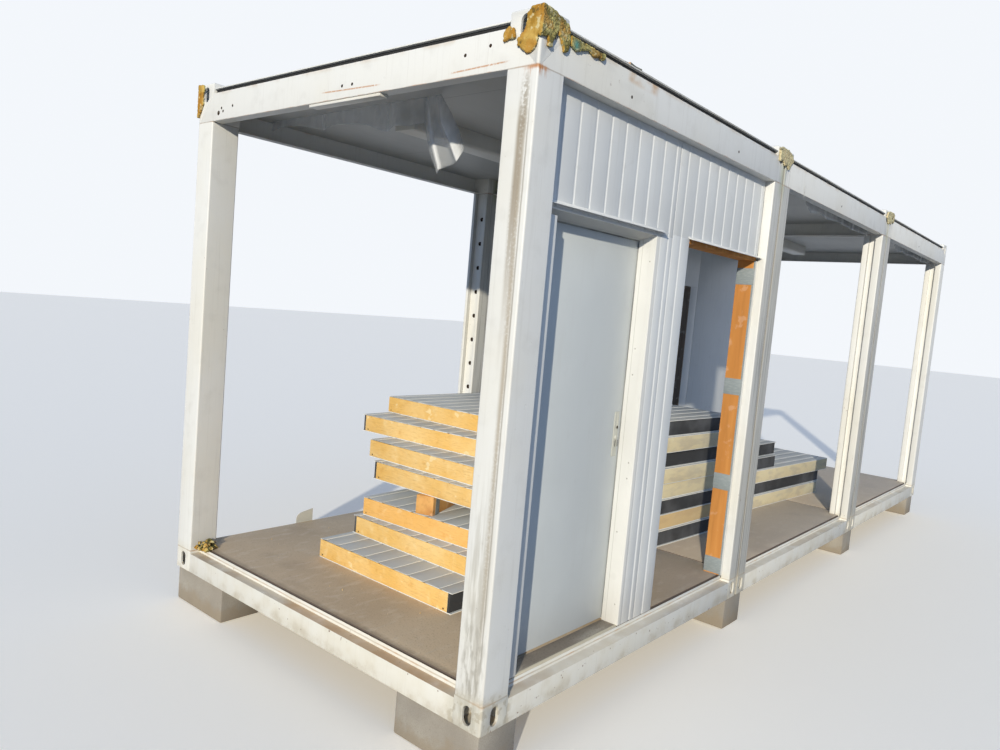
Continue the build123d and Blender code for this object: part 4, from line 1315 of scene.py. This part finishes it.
ground_material = bpy.data.materials.new("pale_ground")
ground_material.use_nodes = True
ground_tree = ground_material.node_tree
ground_shader = ground_tree.nodes["Principled BSDF"]
ground_shader.inputs["Roughness"].default_value = 0.9
ground_shader.inputs["Emission Strength"].default_value = 1.0
ground_seen = seen_rays(ground_tree)
ground_shades = {
    "Base Color": ((0.24, 0.235, 0.22, 1.0), (0.90, 0.88, 0.83, 1.0)),
    "Emission Color": ((0.0, 0.0, 0.0, 1.0), (0.20, 0.17, 0.125, 1.0)),
}
for socket, (lighting, shown) in ground_shades.items():
    shade = add_node(ground_tree, "ShaderNodeMix", {"data_type": "RGBA"}, {
        0: ground_seen, 6: lighting, 7: shown})
    feed(ground_tree, ground_shader.inputs[socket], shade.outputs[2])
ground_reach = 60.0
ground_height = cad_box[0][2] - 0.001
ground_low = Vector((-ground_reach, -ground_reach, ground_height))
ground_high = Vector((ground_reach, ground_reach, ground_height))
ground = new_piece("ground", patch("ground", ground_low, ground_high), ground_material)

world = bpy.data.worlds.new("pale_room")
bpy.context.scene.world = world
world.use_nodes = True
background = world.node_tree.nodes["Background"]
background.inputs["Color"].default_value = (0.32, 0.56, 1.0, 1)
background.inputs["Strength"].default_value = 0.48
shown = add_node(world.node_tree, "ShaderNodeBackground", {}, {"Color": (0.90, 0.93, 0.97, 1)})
blend = add_node(world.node_tree, "ShaderNodeMixShader", {}, {
    0: seen_rays(world.node_tree), 1: background.outputs[0], 2: shown.outputs[0]})
feed(world.node_tree, world.node_tree.nodes["World Output"].inputs["Surface"], blend.outputs[0])

key_direction = Vector((-0.851, -0.446, 0.276)).normalized()
key = bpy.data.lights.new("key", "SUN")
key.energy = 3.8
key.angle = math.radians(1.0)
key.color = (1.0, 0.93, 0.78)
key_lamp = bpy.data.objects.new("key", key)
key_lamp.rotation_euler = key_direction.to_track_quat("Z", "Y").to_euler()
bpy.context.scene.collection.objects.link(key_lamp)

camera_place = Vector((-5.9164, -3.0360, 1.8894))
camera_heading = math.radians(39.972)
camera_tilt = math.radians(-4.956)
camera_roll = math.radians(-4.958)
camera = bpy.data.cameras.new("camera")
camera.lens = 27.45
camera.sensor_width = 36.0
camera_object = bpy.data.objects.new("camera", camera)
bpy.context.scene.collection.objects.link(camera_object)
look = Vector((math.cos(camera_tilt) * math.cos(camera_heading),
               math.cos(camera_tilt) * math.sin(camera_heading), math.sin(camera_tilt)))
aim = look.to_track_quat("-Z", "Y").to_matrix().to_4x4()
camera_object.matrix_world = Matrix.Translation(camera_place) @ aim @ Matrix.Rotation(-camera_roll, 4, "Z")
bpy.context.scene.camera = camera_object
bpy.context.scene.view_settings.view_transform = "Standard"
